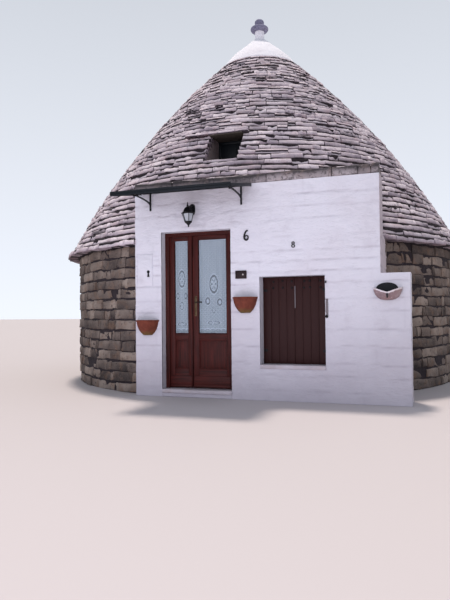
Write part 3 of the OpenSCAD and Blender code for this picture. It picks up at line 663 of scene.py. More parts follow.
def layCourse(look, dice, templates, pick, toneAt, usual, foot, rise, radius, span, climb=0.0):
    # fills one span of bearings with stones of random lengths; pick gives the mesh that a stone goes to
    at, end = span
    whole = end - at
    count = max(1, round(whole * radius / usual))
    shares = [1 + (dice.random() - 0.5) * 2 * look["lengthSpread"] for _ in range(count)]
    for share in shares:
        turn = whole * share / sum(shares)
        length = turn * radius - 0.004 - 0.012 * dice.random() ** 2
        middle = at + turn / 2
        at += turn
        stray = (dice.random() - 0.5) * 2 * look["stray"]
        tall = rise * (0.90 + 0.16 * dice.random())
        lift = (dice.random() - 0.5) * 0.008
        thin = 2 if dice.random() < look["split"] * climb ** 3 else 1
        for layer in range(thin):
            addStone(pick(middle), dice.choice(templates), look, middle, length,
                foot + lift + layer * rise * look["height"] / thin, radius + stray - 0.006 * layer,
                toneAt(middle, foot, dice), tall / thin)


def courseFace(share):
    # radius of the model's course whose foot lies at a share of the roof's height
    look = roofStones
    wide = -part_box("roof_left")[0].x - look["lip"]
    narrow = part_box("white_cap")[1].x - look["underCap"]
    return (wide + (narrow - wide) * share
        + 4 * look["bulge"] * share * (1 - share) * (1 + look["bulgeUp"] * (2 * share - 1)))


darkPatches = [            # bearing in degrees, height, half width in degrees, half height: old damp spots
    (4, 5.24, 24, 0.07), (19, 4.86, 7, 0.05), (34, 3.86, 7, 0.06), (52, 3.80, 9, 0.05),
    (140, 4.5, 16, 0.1), (215, 4.0, 12, 0.12), (300, 4.6, 12, 0.08), (255, 3.2, 10, 0.1),
]


def roofTone(bearing, height, dice):
    tone = 0.37 + 0.50 * dice.random()
    if dice.random() < 0.10:
        tone -= 0.3
    degrees = math.degrees(bearing) % 360
    for middle, level, wide, tall in darkPatches:
        away = abs((degrees - middle + 180) % 360 - 180)
        if away < wide and abs(height - level) < tall:
            tone -= 0.3 * dice.random() + 0.12
    return tone


def wallTone(bearing, height, dice):
    return 0.2 + 0.6 * dice.random()


def makeRoofStones():
    look = roofStones
    dice = random.Random(11)
    names = [f"roofStones{part}" for part in ("Front", "Right", "Back", "Left", "Top")]
    parts = [newStones()[0] for _ in names]
    templates = stoneTemplates(look)
    tall = (roofTop - eave) / look["courses"]
    for index in range(look["courses"]):
        level = eave + tall * index
        share = index / look["courses"]
        radius = courseFace(share) + look["proud"] + (look["lip"] if index == 0 else 0)
        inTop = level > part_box("roof_left")[1].z - 0.04

        def pick(bearing):
            return parts[4 if inTop else int((math.degrees(bearing) + 45) % 360 // 90)]

        span = freeBearings(radius, level, level + tall)
        if span is None:
            turn = dice.random() * 6
            span = (turn, turn + 2 * math.pi)
        usual = look["length"] + (look["lengthTop"] - look["length"]) * share ** 1.5
        layCourse(look, dice, templates, pick, roofTone, usual, level + 0.001, tall / look["height"], radius,
            span, share)
    for name, bm in zip(names, parts):
        finishPiece(name, bm, "splitLimestone", smooth=34)


def makeWallStones():
    look = wallStones
    dice = random.Random(23)
    low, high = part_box("round_wall_left")
    radius = -low.x + look["proud"]
    bm = newStones()[0]
    templates = stoneTemplates(look)
    tall = (high.z - low.z) / look["courses"]
    span = (math.asin(wallHigh.x / radius), math.asin(wallLow.x / radius) + 2 * math.pi)
    for index in range(look["courses"]):
        layCourse(look, dice, templates, lambda bearing: bm, wallTone, look["length"],
            low.z + index * tall + 0.004, tall / look["height"], radius, span)
    for vert in bm.verts:                           # bedded on the level ground
        vert.co.z = max(vert.co.z, low.z)
    finishPiece("wallStones", bm, "rubbleLimestone", smooth=34)


makeRoofStones()
makeWallStones()
print("stones laid")

# Limewashed faces over coursed stone

skinLook = {
    "cell": 0.022, "course": (0.12, 0.23), "length": (0.30, 0.85), "jointWidth": 0.034, "jointDepth": 0.0070,
    "proud": 0.0062, "stray": 0.0020, "lump": 0.0036, "thickness": 0.014,
    "corner": 1.03,                                 # how far the limewash runs back at the right corner
}


def coursing(width, height, seed):
    # a function that gives how far a place on the wall stands out, and how near it is to a joint
    look = skinLook
    dice = random.Random(seed)
    courses = []
    level = -0.06
    while level < height + 0.06:
        tall = dice.uniform(*look["course"])
        stones = []
        at = -dice.uniform(*look["length"])
        while at < width + 0.1:
            long = dice.uniform(*look["length"])
            stones.append((at, at + long, dice.uniform(-1, 1), dice.random()))
            at += long
        courses.append((level, level + tall, stones, dice.uniform(0.55, 1.0)))
        level += tall

    def field(x, z, shift=0):
        return noise.noise(Vector((x, z, seed + shift)))

    def relief(x, z):
        level = z + (field(x * 1.3, z * 0.5) * 0.024 + field(x * 6.1, z) * 0.020)
        low, high, stones, bed = next((one for one in courses if one[0] <= level < one[1]), courses[-1])
        left, right, stand, upright = next((one for one in stones if one[0] <= x < one[1]), stones[-1])
        half = look["jointWidth"] / 2
        bedJoint = max(0.0, 1 - min(level - low, high - level) / half) * bed
        endJoint = max(0.0, 1 - min(x - left, right - x) / half) * (upright if upright > 0.45 else 0.0)
        shown = min(1.0, max(0.0, 0.65 + 1.7 * field(x * 3.1, z * 2.1, 5)))        # thick coats hide some
        joint = max(bedJoint, endJoint * 0.3) * shown
        lumps = noise.fractal(Vector((x * 7, z * 7, seed)), 1.0, 2.0, 3)
        stand = look["proud"] + stand * look["stray"] + lumps * look["lump"]
        return max(0.0008, stand - joint * look["jointDepth"]), joint

    return relief


def makeSkin(name, corner, inward, width, height, openings, seed, finish="chalkLimewash"):
    # a closed skin over a wall's face; corner is its lower left from outside, openings are (x0, x1, z0, z1)
    relief = coursing(width, height, seed)
    bm = bmesh.new()
    addGrid(bm, (width / 2, 0, height / 2), width, height, skinLook["cell"])
    for x0, x1, z0, z1 in openings:
        for axis, at in ((0, x0), (0, x1), (2, z0), (2, z1)):
            normal = Matrix.Identity(3)[axis]
            bmesh.ops.bisect_plane(bm, geom=[*bm.verts, *bm.edges, *bm.faces], dist=0.0001,
                plane_co=normal * at, plane_no=normal)
        middles = [(face, face.calc_center_median()) for face in bm.faces]
        gone = [face for face, middle in middles if x0 < middle.x < x1 and z0 < middle.z < z1]
        bmesh.ops.delete(bm, geom=gone, context="FACES")
    bmesh.ops.solidify(bm, geom=bm.faces[:], thickness=skinLook["thickness"])
    layer = bm.verts.layers.float.new("joint")
    depths = [vert.co.y for vert in bm.verts]
    middle = (min(depths) + max(depths)) / 2
    for vert in bm.verts:
        if vert.co.y < middle:
            stand, vert[layer] = relief(vert.co.x, vert.co.z)
            vert.co.y = -stand
        else:
            vert.co.y = skinLook["thickness"]
    bmesh.ops.recalc_face_normals(bm, faces=bm.faces)
    inward, up = Vector(inward), Vector((0, 0, 1))
    bm.transform(Matrix.Translation(corner) @ Matrix((inward.cross(up), inward, up)).transposed().to_4x4())
    finishPiece(name, bm, finish, smooth=50)


def makeSkins():
    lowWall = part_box("low_wall")[1]
    doorTop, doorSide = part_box("front_wall_over_door")[0].z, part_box("front_wall_middle")[0].x
    windowLow, (head, windowHigh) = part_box("window_sill")[0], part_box("front_wall_over_window")
    meterLow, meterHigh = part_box("meter_door")
    gap = 0.004
    openings = [(x0 - wallLow.x, x1 - wallLow.x, z0, z1) for x0, x1, z0, z1 in (
        (-doorSide, doorSide, 0.0, doorTop), (windowLow.x, windowHigh.x, windowLow.z, head.z),
        (wallHigh.x, lowWall.x + 1, lowWall.z, 5.0),
        (meterLow.x - gap, meterHigh.x + gap, meterLow.z - gap, meterHigh.z + gap))]
    thick, back = wallBack - faceY, skinLook["corner"]
    makeSkin("frontLimewash", (wallLow.x, faceY, 0), (0, 1, 0), lowWall.x - wallLow.x, wallHigh.z, openings,
        5)
    makeSkin("rightEndLimewash", (wallHigh.x, faceY, lowWall.z), (-1, 0, 0), back, wallHigh.z - lowWall.z,
        [(thick, 2.0, eave - lowWall.z, 5.0)], 8, "weatheredLimewash")
    makeSkin("cornerLimewash", (wallHigh.x, wallBack, 0), (-1, 0, 0), back - thick, lowWall.z, [], 9,
        "weatheredLimewash")
    makeSkin("leftEndLimewash", (wallLow.x, wallBack, 0), (1, 0, 0), thick, wallHigh.z, [], 12)
    makeSkin("lowWallEndLimewash", (lowWall.x, faceY, 0), (-1, 0, 0), thick, lowWall.z, [], 14)


def makeToothing():
    # bare stones that break the limewash's edge where the corner meets the round wall
    dice = random.Random(67)
    back = faceY + skinLook["corner"]
    bm, layer = newStones()
    at = 0.02
    while at < eave - 0.06:
        tall = dice.uniform(0.10, 0.18)
        reach = dice.uniform(0.05, 0.15) + (0.10 if at > eave - 0.3 else 0.0)
        high = (wallHigh.x + dice.uniform(0.006, 0.020), back + 0.03, min(at + tall, eave - 0.01))
        roughBlock(bm, layer, (wallHigh.x - 0.06, back - reach, at), high, 0.012, 0.014,
            0.2 + 0.5 * dice.random(), at * 10, 0.06)
        at += tall + 0.004
    finishPiece("cornerToothing", bm, "rubbleLimestone")


makeSkins()
makeToothing()
print("limewash on")

# Cap stones, cap and pinnacle

copingLook = {
    "length": (0.55, 0.95), "endStone": 0.095, "rounding": 0.018, "rough": 0.011, "joint": 0.003,
    "packing": {"length": (0.09, 0.26), "height": (0.018, 0.042), "depth": (0.05, 0.10), "gap": (0.01, 0.16)},
}

capLook = {
    "lumps": 0.006, "steps": 96,                    # how uneven the coat is
    # (radius, height) of the cap's outer line
    "line": [(0.700, 0.0), (0.704, 0.014), (0.694, 0.032), (0.580, 0.174), (0.429, 0.321), (0.249, 0.473),
        (0.202, 0.520), (0.130, 0.577), (0.098, 0.606), (0.086, 0.640), (0.083, 0.700), (0.086, 0.752)],
}

pinnacleLook = {
    "disc": [(0.100, 0.0), (0.138, 0.012), (0.159, 0.032), (0.165, 0.054), (0.157, 0.080), (0.128, 0.099),
        (0.090, 0.106)],
    "ball": [(0.036, 0.0), (0.064, 0.012), (0.081, 0.035), (0.087, 0.066), (0.081, 0.096), (0.062, 0.118),
        (0.034, 0.130)],
}


def makeCoping():
    look = copingLook
    dice = random.Random(31)
    low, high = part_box("cap_stones")
    cuts, last, gap = [low.x], high.x - look["endStone"], look["joint"] / 2
    while last - cuts[-1] > 1.2:
        cuts.append(cuts[-1] + dice.uniform(*look["length"]))
    cuts += [(cuts[-1] + last) / 2 + 0.08, last, high.x]
    bm, layer = newStones()
    for index, (left, right) in enumerate(zip(cuts, cuts[1:])):
        foot = (left + gap, low.y + dice.uniform(-0.006, 0.006), low.z + 0.001)
        head = (right - gap, high.y, high.z + dice.uniform(-0.006, 0.004))
        tone = 0.30 + 0.30 * dice.random()
        roughBlock(bm, layer, foot, head, look["rounding"], look["rough"], tone, index, 0.07)
    for vert in bm.verts:                           # lichen gathers along the upper edge
        vert[layer] -= 1.8 * max(0.0, (vert.co.z - low.z) / (high.z - low.z) - 0.38)
    finishPiece("copingStones", bm, "lichenedLimestone", replaced=["cap_stones"])
    packing = look["packing"]                       # ragged stones between the coping and the first course
    bm, layer = newStones()
    at = low.x + 0.05
    while at < high.x - 1.3:
        long, tall, deep = (dice.uniform(*packing[key]) for key in ("length", "height", "depth"))
        roughBlock(bm, layer, (at, high.y - deep, high.z - 0.006), (at + long, high.y + 0.05, high.z + tall),
            0.008, 0.010, 0.25 + 0.5 * dice.random(), at)
        at += long + dice.uniform(*packing["gap"])
    finishPiece("copingPacking", bm, "splitLimestone")


def makeCap():
    look = capLook
    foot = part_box("white_cap")[0].z
    bm = bmesh.new()
    turned(bm, look["line"][:2] + smoothLine(look["line"][2:], 4), (0, 0, foot), look["steps"])
    skin = [vert for vert in bm.verts if vert.co.z > foot + 0.002 and vert.co.xy.length > 0.05]
    shake(skin, look["lumps"], 5.0, 3)
    shake(skin, look["lumps"] * 0.4, 22.0, 4)
    finishPiece("capCoat", bm, "bleachedLimewash", replaced=["white_cap"], smooth=60)
    bm = bmesh.new()
    for part, line in pinnacleLook.items():
        turned(bm, smoothLine(line, 3), (0, 0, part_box(f"pinnacle_{part}")[0].z), 40)
    shake(bm.verts, 0.0025, 14.0, 8)
    finishPiece("pinnacleStones", bm, "greyLimestone",
        replaced=["pinnacle_disc", "pinnacle_ball"], smooth=60)


# Dormer

dormerLook = {
    "facing": 0.014,                                # how far the reveal's stones stand into the opening
    "courses": 5, "coursed": 0.13,                  # depth of the coursed part behind the roof's face
    "plaster": 0.012, "plasterBack": 0.045, "ceilingFront": -2.44,
    # lintel slabs: left and right end, how far each stands back and stays under the top, tone
    "slabs": ((0.0, 0.36, 0.0, 0.006, 1.15), (0.36, 0.78, 0.014, 0.0, 1.0), (0.78, None, 0.03, 0.004, 0.6)),
    "rough": 0.006, "paneBack": 0.016, "bars": 3, "barGap": 0.052,
}


def roofFace(x, level):
    # where the face of the model's roof stands, at a place beside the dormer
    return -math.sqrt(courseFace((level - eave) / (roofTop - eave)) ** 2 - x * x)


def makeDormer():
    look = dormerLook
    dice = random.Random(41)
    low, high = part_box("dormer_frame")
    sides = ((1, low.x), (-1, high.x))
    tall = (high.z - low.z) / look["courses"]
    bm, layer = newStones()
    for side, x in sides:
        for index in range(look["courses"]):
            foot = low.z + index * tall
            front = roofFace(x, foot) - 0.004
            back = front + look["coursed"] + dice.uniform(-0.05, 0.05)
            left, right = sorted((x - side * 0.05, x + side * (look["facing"] + dice.uniform(-0.006, 0.006))))
            roughBlock(bm, layer, (left, front + 0.045, foot + 0.003), (right, back, foot + tall - 0.012),
                0.012, 0.008, 0.05 + 0.2 * dice.random(), index + side)
    finishPiece("dormerReveals", bm, "splitLimestone")
    bm = bmesh.new()
    for side, x in sides:                           # the side plaster starts behind the sloping courses
        x -= 0.004 * side
        line = [(x, roofFace(x, level) + look["plasterBack"], level) for level in (low.z, high.z)]
        addPlate(bm, line + [(x, low.y + 0.01, high.z), (x, low.y + 0.01, low.z)],
            (side * (look["plaster"] + 0.004), 0, 0))
    front, back = look["ceilingFront"], low.y + 0.01
    # the ceiling block takes the painted shade
    addBlock(bm, (low.x, front, high.z - 0.010), (high.x, back, high.z + 0.004), 0.003, 1)
    shake(bm.verts, 0.003, 9.0, 6)
    finishPiece("dormerPlaster", bm, ["sootyPlaster", "paintedShadeCeiling"])
    slabLow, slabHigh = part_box("dormer_lintel")
    bm, layer = newStones()
    for index, (left, right, back, under, tone) in enumerate(look["slabs"]):
        end = slabHigh.x if right is None else slabLow.x + right
        roughBlock(bm, layer, (slabLow.x + left + 0.003, slabLow.y + back, slabLow.z),
            (end - 0.003, slabHigh.y, slabHigh.z - under), 0.014, look["rough"] * 1.6, tone, index, 0.07)
    for vert in bm.verts:                           # painted shade: the lintel slabs darken from three quarters of their height down to their underside
        vert[layer] -= 2.4 * max(0.0, 0.75 - (vert.co.z - slabLow.z) / (slabHigh.z - slabLow.z))
    sillLow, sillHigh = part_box("dormer_sill")
    roughBlock(bm, layer, sillLow - Vector((0, 0.016, 0)), sillHigh, 0.010, look["rough"], 0.55, 9)
    finishPiece("dormerSlabs", bm, "splitLimestone", replaced=["dormer_lintel", "dormer_sill"])
    bm = bmesh.new()
    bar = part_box("dormer_panel")[0].x - low.x
    for x0, x1, z0, z1, _ in border(low, high, bar):
        addBlock(bm, (x0 + 0.0005, low.y, z0 + 0.0005), (x1 - 0.0005, high.y, z1 - 0.0005), 0.005)
    pane, rod = low.y + look["paneBack"], low.y + 0.008
    addPanel(bm, low, high, bar, pane, pane + 0.008, 0.001)
    for index in range(look["bars"]):
        x = high.x - bar - look["barGap"] * (index + 1)
        addRod(bm, (x, rod, low.z + bar - 0.01), (x, rod, high.z - bar + 0.01), 0.006, 8)
    finishPiece("dormerWindow", bm, "slateBluePaint", replaced=["dormer_frame", "dormer_panel"])


makeCoping()
makeCap()
makeDormer()
print("coping, cap and dormer made")

# Doorway and door

doorLook = {
    "gap": 0.006, "edge": 0.003, "seam": 0.0006, "lip": 0.013, "rod": 0.0055, "rodIn": 0.014,
    "bead": 0.005, "moulding": 0.012, "bottomRail": 0.250, "midRail": 0.085, "panel": 0.016,
    "field": 0.026, "fieldIn": 0.020, "fieldRise": 0.007,      # margin, slope and height of the raised panels
    "weatherTop": 0.270, "weatherOut": 0.012, "strip": 0.034,
}

handleLook = {"height": 1.256, "in": 0.039, "thick": 0.021, "length": 0.100, "out": 0.041, "keyhole": 0.072}

laceLook = {
    "fold": 0.086, "swing": 0.0045, "open": 0.62, "cell": 0.0055,
    # (x, z, half width, half height, petals) of the worked ornaments
    "left": [(-0.269, 1.575, 0.052, 0.118, 6), (-0.331, 1.345, 0.022, 0.046, 0),
        (-0.213, 1.343, 0.022, 0.046, 0), (-0.273, 1.208, 0.030, 0.056, 4), (-0.268, 0.960, 0.070, 0.026, 5)],
    "right": [(0.193, 1.495, 0.062, 0.126, 6), (0.105, 1.270, 0.038, 0.052, 0),
        (0.275, 1.254, 0.038, 0.052, 0), (0.188, 1.150, 0.026, 0.046, 4), (0.188, 0.977, 0.090, 0.028, 5)],
}


def makeThreshold():
    low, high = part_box("door_threshold")
    bm, layer = newStones()
    roughBlock(bm, layer, low, high, 0.010, 0.002, 0.2, 2, 0.08)
    for vert in bm.verts:                           # worn hollow in the middle
        if vert.co.z > high.z - 0.012:
            vert.co.z -= 0.006 * math.exp(-(vert.co.x / 0.22) ** 2)
    finishPiece("thresholdStone", bm, "wornLimestone", replaced=["door_threshold"], smooth=50)
    bm, layer = newStones()
    roughBlock(bm, layer, (low.x + 0.004, faceY - 0.003, 0.001), (high.x - 0.004, faceY + 0.05, low.z), 0.004,
        0.001, 0.0, 3)
    finishPiece("thresholdRiser", bm, "chalkLimewash", smooth=50)
    bm, layer = newStones()
    roughBlock(bm, layer, *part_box("window_sill"), 0.008, 0.002, 0.25, 5, 0.09)
    finishPiece("windowSillStone", bm, "wornLimestone", replaced=["window_sill"], smooth=50)


def makeDoorFrame():
    look = doorLook
    edge, lip, rod = look["edge"], look["lip"], look["rod"]
    low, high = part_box("door_frame")
    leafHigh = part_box("door_right_leaf")[1]
    side, head = leafHigh.x + look["gap"], leafHigh.z + look["gap"]
    lipBack, lipFoot = low.y + lip, head - lip
    bm = bmesh.new()
    for x0, x1, inner in ((low.x, -side, -side + lip), (side, high.x, side - lip)):
        addBlock(bm, (x0, lipBack, low.z), (x1, high.y, high.z), edge)
        addBlock(bm, (min(x0, inner), low.y, low.z), (max(x1, inner), lipBack, lipFoot), edge)
        x = inner + math.copysign(look["rodIn"], inner)
        addRod(bm, (x, low.y, low.z + 0.02), (x, low.y, head - 0.03), rod, 10)
    addBlock(bm, (-side, lipBack, head), (side, high.y, high.z), edge, 1)
    addBlock(bm, (low.x, low.y, lipFoot + look["seam"]), (high.x, lipBack, high.z), edge, 1)
    level = lipFoot + look["rodIn"]
    addRod(bm, (-side + 0.03, low.y, level), (side - 0.03, low.y, level), rod, 10)
    finishPiece("doorFrameJoinery", bm, ["mahoganyUpright", "mahoganyLevel"],
        replaced=["door_frame"])


def fieldedPanel(bm, low, high):
    # a flat board with a field that rises on a slope on both of its faces
    margin, slope, rise = doorLook["field"], doorLook["fieldIn"], doorLook["fieldRise"]
    addBlock(bm, (low.x, low.y + rise, low.z), (high.x, high.y - rise, high.z), 0.001)
    inset = Vector((margin, rise - 0.001, margin))
    verts = addCube(bm, low + inset, high - inset)
    bm.normal_update()
    faces = {face for vert in verts for face in vert.link_faces if abs(face.normal.y) > 0.9}
    bmesh.ops.inset_region(bm, faces=list(faces), thickness=slope, depth=rise - 0.001)


def makeLeaf(side):
    look = doorLook
    edge, seam = look["edge"], look["seam"]
    low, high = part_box(f"door_{side}_leaf")
    paneLow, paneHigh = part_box(f"{side}_glass")
    panelTop, panelFoot = paneLow.z - look["midRail"], low.z + look["bottomRail"]
    bm = bmesh.new()
    addBlock(bm, low, (paneLow.x, high.y, high.z), edge)
    addBlock(bm, (paneHigh.x, low.y, low.z), high, edge)
    for foot, top in ((low.z, panelFoot), (panelTop, paneLow.z), (paneHigh.z, high.z)):
        addBlock(bm, (paneLow.x + seam, low.y + seam, foot), (paneHigh.x - seam, high.y - seam, top),
            edge * 0.6, 1)
    for x0, x1, z0, z1, kind in border(paneLow, paneHigh, look["bead"]):    # none on the lace's side
        addBlock(bm, (x0, low.y + 0.004, z0), (x1, paneLow.y, z1), 0.0035, kind)
    middle = (low.y + high.y) / 2
    panel = [Vector((paneLow.x, middle - look["panel"], panelFoot)),
        Vector((paneHigh.x, middle + look["panel"], panelTop))]
    fieldedPanel(bm, *panel)
    for x0, x1, z0, z1, kind in border(*panel, look["moulding"]):
        addBlock(bm, (x0, low.y + 0.003, z0), (x1, middle - 0.008, z1), 0.004, kind)
    left, right, foot, out = low.x + 0.014, high.x - 0.013, low.z + 0.006, low.y - look["weatherOut"]
    addBlock(bm, (left, out, foot), (right, low.y + 0.002, look["weatherTop"]), 0.005, 1)
    addBlock(bm, (left, out - 0.006, foot), (right, low.y, low.z + 0.040), 0.005, 1)
    if side == "left":                              # the cover strip over the gap between the leaves
        left = high.x - 0.042
        addBlock(bm, (left, low.y - 0.006, look["weatherTop"] + 0.012),
            (left + look["strip"], low.y + 0.001, high.z - 0.02), 0.003)
    finishPiece(f"{side}LeafJoinery", bm, ["mahoganyUpright", "mahoganyLevel"], f"{side}_leaf",
        [f"door_{side}_leaf"])


def laceDensity(x, z, motifs, low, high):
    # how dense the net is worked at a place: ovals with a flower in an openwork ring, and a scalloped hem
    dense = laceLook["open"] + 0.05 * math.sin(x * 120) * math.sin(z * 120)
    for cx, cz, wide, tall, petals in motifs:
        across, up = (x - cx) / wide, (z - cz) / tall
        reach = math.hypot(across, up)
        if reach < (0.76 if petals else 0.55):
            angle = math.atan2(up, across)
            petal = 0.5 + 0.5 * math.cos(petals * angle) if petals else 0.0
            dense += 0.20 - 0.46 * (petal > 0.62) * (0.2 < reach < 0.62)
        elif reach < 1.0:
            dense -= 0.42
        elif reach < 1.14:
            dense += 0.24
    hem = z - low.z - 0.055 - 0.016 * abs(math.sin((x - low.x) * 42))
    if hem < 0:
        dense += 0.25 if hem > -0.014 or z < low.z + 0.012 else -0.12
    if min(x - low.x, high.x - x) < 0.010 or high.z - z < 0.018:
        dense += 0.25
    return max(0.1, min(0.95, dense))


def makeLace(side):
    look = laceLook
    low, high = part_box(f"{side}_curtain")
    width, height = high.x - low.x - 0.002, high.z - low.z - 0.003
    middle = (low + high) / 2
    bm = bmesh.new()
    addGrid(bm, middle, width, height, look["cell"])
    dense = bm.verts.layers.float.new("dense")
    cloth = bm.loops.layers.uv.new("cloth")
    for face in bm.faces:
        for loop in face.loops:
            loop[cloth].uv = (loop.vert.co.x - low.x, loop.vert.co.z - low.z)
    for vert in bm.verts:
        x, z = vert.co.x, vert.co.z
        vert[dense] = laceDensity(x, z, look[side], low, high)
        phase = (x - low.x) / look["fold"] * 2 * math.pi + 0.5 * noise.noise(Vector((x * 4, 0, z * 1.2)))
        soft = 0.45 + 0.55 * min(1.0, (high.z - z) / 0.5)
        vert.co.y = middle.y + math.sin(phase) * look["swing"] * soft
    area = sum(face.calc_area() for face in bm.faces)
    piece = finishPiece(f"{side}Lace", bm, "cottonNet", f"{side}_leaf", [f"{side}_curtain"], 80)


def makeHandle():
    look = handleLook
    low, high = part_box("door_handle")
    leafLow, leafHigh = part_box("door_right_leaf")
    x, z = leafLow.x + look["in"], look["height"]
    plates, arms = bmesh.new(), bmesh.new()
    for way, face in ((-1, leafLow.y), (1, leafHigh.y)):
        for half, margin, thick, rounding in ((0.018, 0.0, 0.004, 0.0015), (0.012, 0.012, 0.006, 0.002)):
            near, far = sorted((face, face + way * thick))
            addBlock(plates, (x - half, near, low.z + margin), (x + half, far, high.z - margin), rounding)
        addRod(plates, (x, face, z), (x, face + way * 0.014, z), 0.014, 24)
        for screw in (low.z + 0.022, high.z - 0.022):
            addDome(plates, (x, face + way * 0.006, screw), 0.0045, (0, way, 0))
        keyhole, out = z - look["keyhole"], face + way * look["out"]
        addRod(plates, (x, face, keyhole), (x, face + way * 0.009, keyhole), 0.0085, 16)
        path = smoothPath([(x, face + way * 0.010, z), (x, face + way * 0.030, z), (x + 0.008, out, z),
            (x + 0.035, out, z), (x + 0.070, out - way * 0.003, z), (x + look["length"], out, z)], 5)
        sizes = [1.15 - 0.35 * math.sin(math.pi * index / (len(path) - 1)) for index in range(len(path))]
        sweep(arms, path, look["thick"], look["thick"] * 0.85, (0, 0, 1), 10, sizes)
    finishPiece("handlePlates", plates, "agedBrass", "right_leaf", ["door_handle"])
    finishPiece("handleLevers", arms, "leverIron", "right_leaf", smooth=60)


makeThreshold()
makeDoorFrame()
for side in ("left", "right"):
    makeLeaf(side)
    makeLace(side)
makeHandle()
print("doorway and door made")

# Shuttered window

shutterLook = {
    "boards": 4, "groove": 0.002, "edge": 0.0025, "thin": 0.006,
    "stud": 0.015, "rows": (1.507, 1.424), "studs": (0.135, 0.262, 0.375, 0.535, 0.61, 0.745),
    "strip": (1.291, 1.303, 1.163, 1.443), "latch": (1.709, 1.744, 1.072, 1.273),   # left, right, foot, top
    "hinge": (0.024, 0.016), "pintle": (1.718, 1.476), "knob": (1.724, 1.055),
}


def makeShutters():
    look = shutterLook
    dice = random.Random(53)
    for side in ("left", "right"):
        low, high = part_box(f"{side}_shutter")
        boards, half = look["boards"], look["groove"] / 2
        wide = (high.x - low.x) / boards
        bm = bmesh.new()
        for index in range(boards):
            left, right = low.x + wide * index + half * (index > 0), low.x + wide * (index + 1)
            addBlock(bm, (left, low.y + dice.uniform(0, 0.0025), low.z),
                (right - half * (index < boards - 1), high.y - look["thin"], high.z), look["edge"])
        batten = high.y - 0.008
        addPanel(bm, low, high, 0.004, low.y + 0.012, batten)
        for level in (low.z + 0.18, (low.z + high.z) / 2, high.z - 0.10):
            addBlock(bm, (low.x + 0.02, batten, level - 0.05), (high.x - 0.02, high.y, level + 0.05), 0.002)
        finishPiece(f"{side}ShutterBoards", bm, "maroonBoardPaint",
            replaced=[f"{side}_shutter"])
    low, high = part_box("left_shutter")[0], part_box("right_shutter")[1]
    bm = bmesh.new()
    for level in look["rows"]:
        for x in look["studs"]:
            place = (low.x + x + dice.uniform(-0.006, 0.006), low.y, level + dice.uniform(-0.004, 0.004))
            addDome(bm, place, look["stud"], flat=0.5)
    wide, tall = look["hinge"]
    for x in (low.x + 0.03, high.x - 0.03):
        for z in (low.z + 0.17, high.z - 0.17):
            addBlock(bm, (x - wide, low.y - 0.003, z - tall), (x + wide, low.y + 0.002, z + tall), 0.001)
    x, z = look["pintle"]
    addRod(bm, (x, faceY - 0.024, z - 0.014), (x, faceY - 0.024, z + 0.016), 0.008, 10)
    addRod(bm, (x, faceY + 0.01, z), (x, faceY - 0.026, z), 0.006, 10)
    x, z = look["knob"]
    addDome(bm, (x, faceY - 0.014, z), 0.020, flat=0.9)
    finishPiece("shutterIron", bm, "blackIronPaint")
    bm = bmesh.new()
    left, right, foot, top = look["strip"]
    addBlock(bm, (left, low.y - 0.006, foot), (right, low.y + 0.001, top), 0.002)
    left, right, foot, top = look["latch"]
    addBlock(bm, (left, faceY - 0.008, foot), (right, faceY, top), 0.003)
    for level in (foot + 0.02, top - 0.02):
        addDome(bm, ((left + right) / 2, faceY - 0.008, level), 0.006, flat=0.5)
    finishPiece("shutterStrips", bm, "galvanisedStrip")


makeShutters()
print("shutters made")

# Canopy and its brackets

canopyLook = {
    "sheet": 0.004, "seams": 6, "seam": 0.010, "upstand": 0.018, "angle": 0.004, "leg": 0.026, "edge": 0.001,
    "purlins": 2, "purlin": 0.014, "bolts": 9, "bolt": 0.0055,
}

bracketLook = {"thick": 0.019, "reach": 0.470, "strutReach": 0.450, "strutUp": 0.070, "scroll": 0.017}


def canopyFall():
    # how much the canopy falls for each metre that it reaches out
    low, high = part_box("canopy_sheet")
    return (high.z - low.z - canopyLook["seam"]) / (high.y - low.y)


def makeCanopy():
    look = canopyLook
    edge, t, leg, deck = look["edge"], look["angle"], look["leg"], -look["seam"]
    (low, high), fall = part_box("canopy_sheet"), canopyFall()
    left, right, out = low.x, high.x, high.y - low.y
    # the canopy's own plane: y from 0 out to -out, z up from the top of the seams
    slope = Matrix(((1, 0, 0, 0), (0, 1, 0, 0), (0, fall, 1, 0), (0, 0, 0, 1)))
    place = Matrix.Translation((0, high.y, high.z)) @ slope
    bm = bmesh.new()
    addBlock(bm, (left, -out, deck), (right, 0, deck + look["sheet"]), edge)
    for index in range(look["seams"] + 1):          # the sheets' folded seams
        x = left + 0.004 + (right - left - 0.008) * index / look["seams"]
        addBlock(bm, (x - 0.004, -out, deck + 0.003), (x + 0.004, -0.004, 0.002), 0.0015)
    addBlock(bm, (left, -out, deck), (right, -out + look["sheet"], look["upstand"]), edge)
    bm.transform(place)
    finishPiece("canopySheets", bm, "greenBlackSteelPaint", replaced=["canopy_sheet"])
    bm = bmesh.new()
    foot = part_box("canopy_rails")[0].z - high.z + fall * out
    addBlock(bm, (left, -out, foot), (right, -out + t, deck), edge)
    addBlock(bm, (left, -out, deck - t), (right, -out + leg, deck), edge)
    for x, way in ((left, 1), (right, -1)):
        for size, under in ((t, foot), (leg, deck - t)):
            x0, x1 = sorted((x, x + way * size))
            addBlock(bm, (x0, -out, under), (x1, 0, deck), edge)
    for index in range(look["purlins"]):
        y, half = -out * (index + 1) / (look["purlins"] + 1), look["purlin"]
        addBlock(bm, (left + leg, y - half, deck - half), (right - leg, y + half, deck), edge)
    addBlock(bm, (left + leg, -0.024, deck - 0.020), (right - leg, -0.002, deck), edge)
    for index in range(look["bolts"]):
        x, z = left + 0.07 + (right - left - 0.14) * index / (look["bolts"] - 1), (deck + foot) / 2
        addRod(bm, (x, -out - 0.004, z), (x, -out + 0.002, z), look["bolt"], 6)
    bm.transform(place)
    finishPiece("canopyFrame", bm, "greenBlackSteelPaint", replaced=["canopy_rails"])


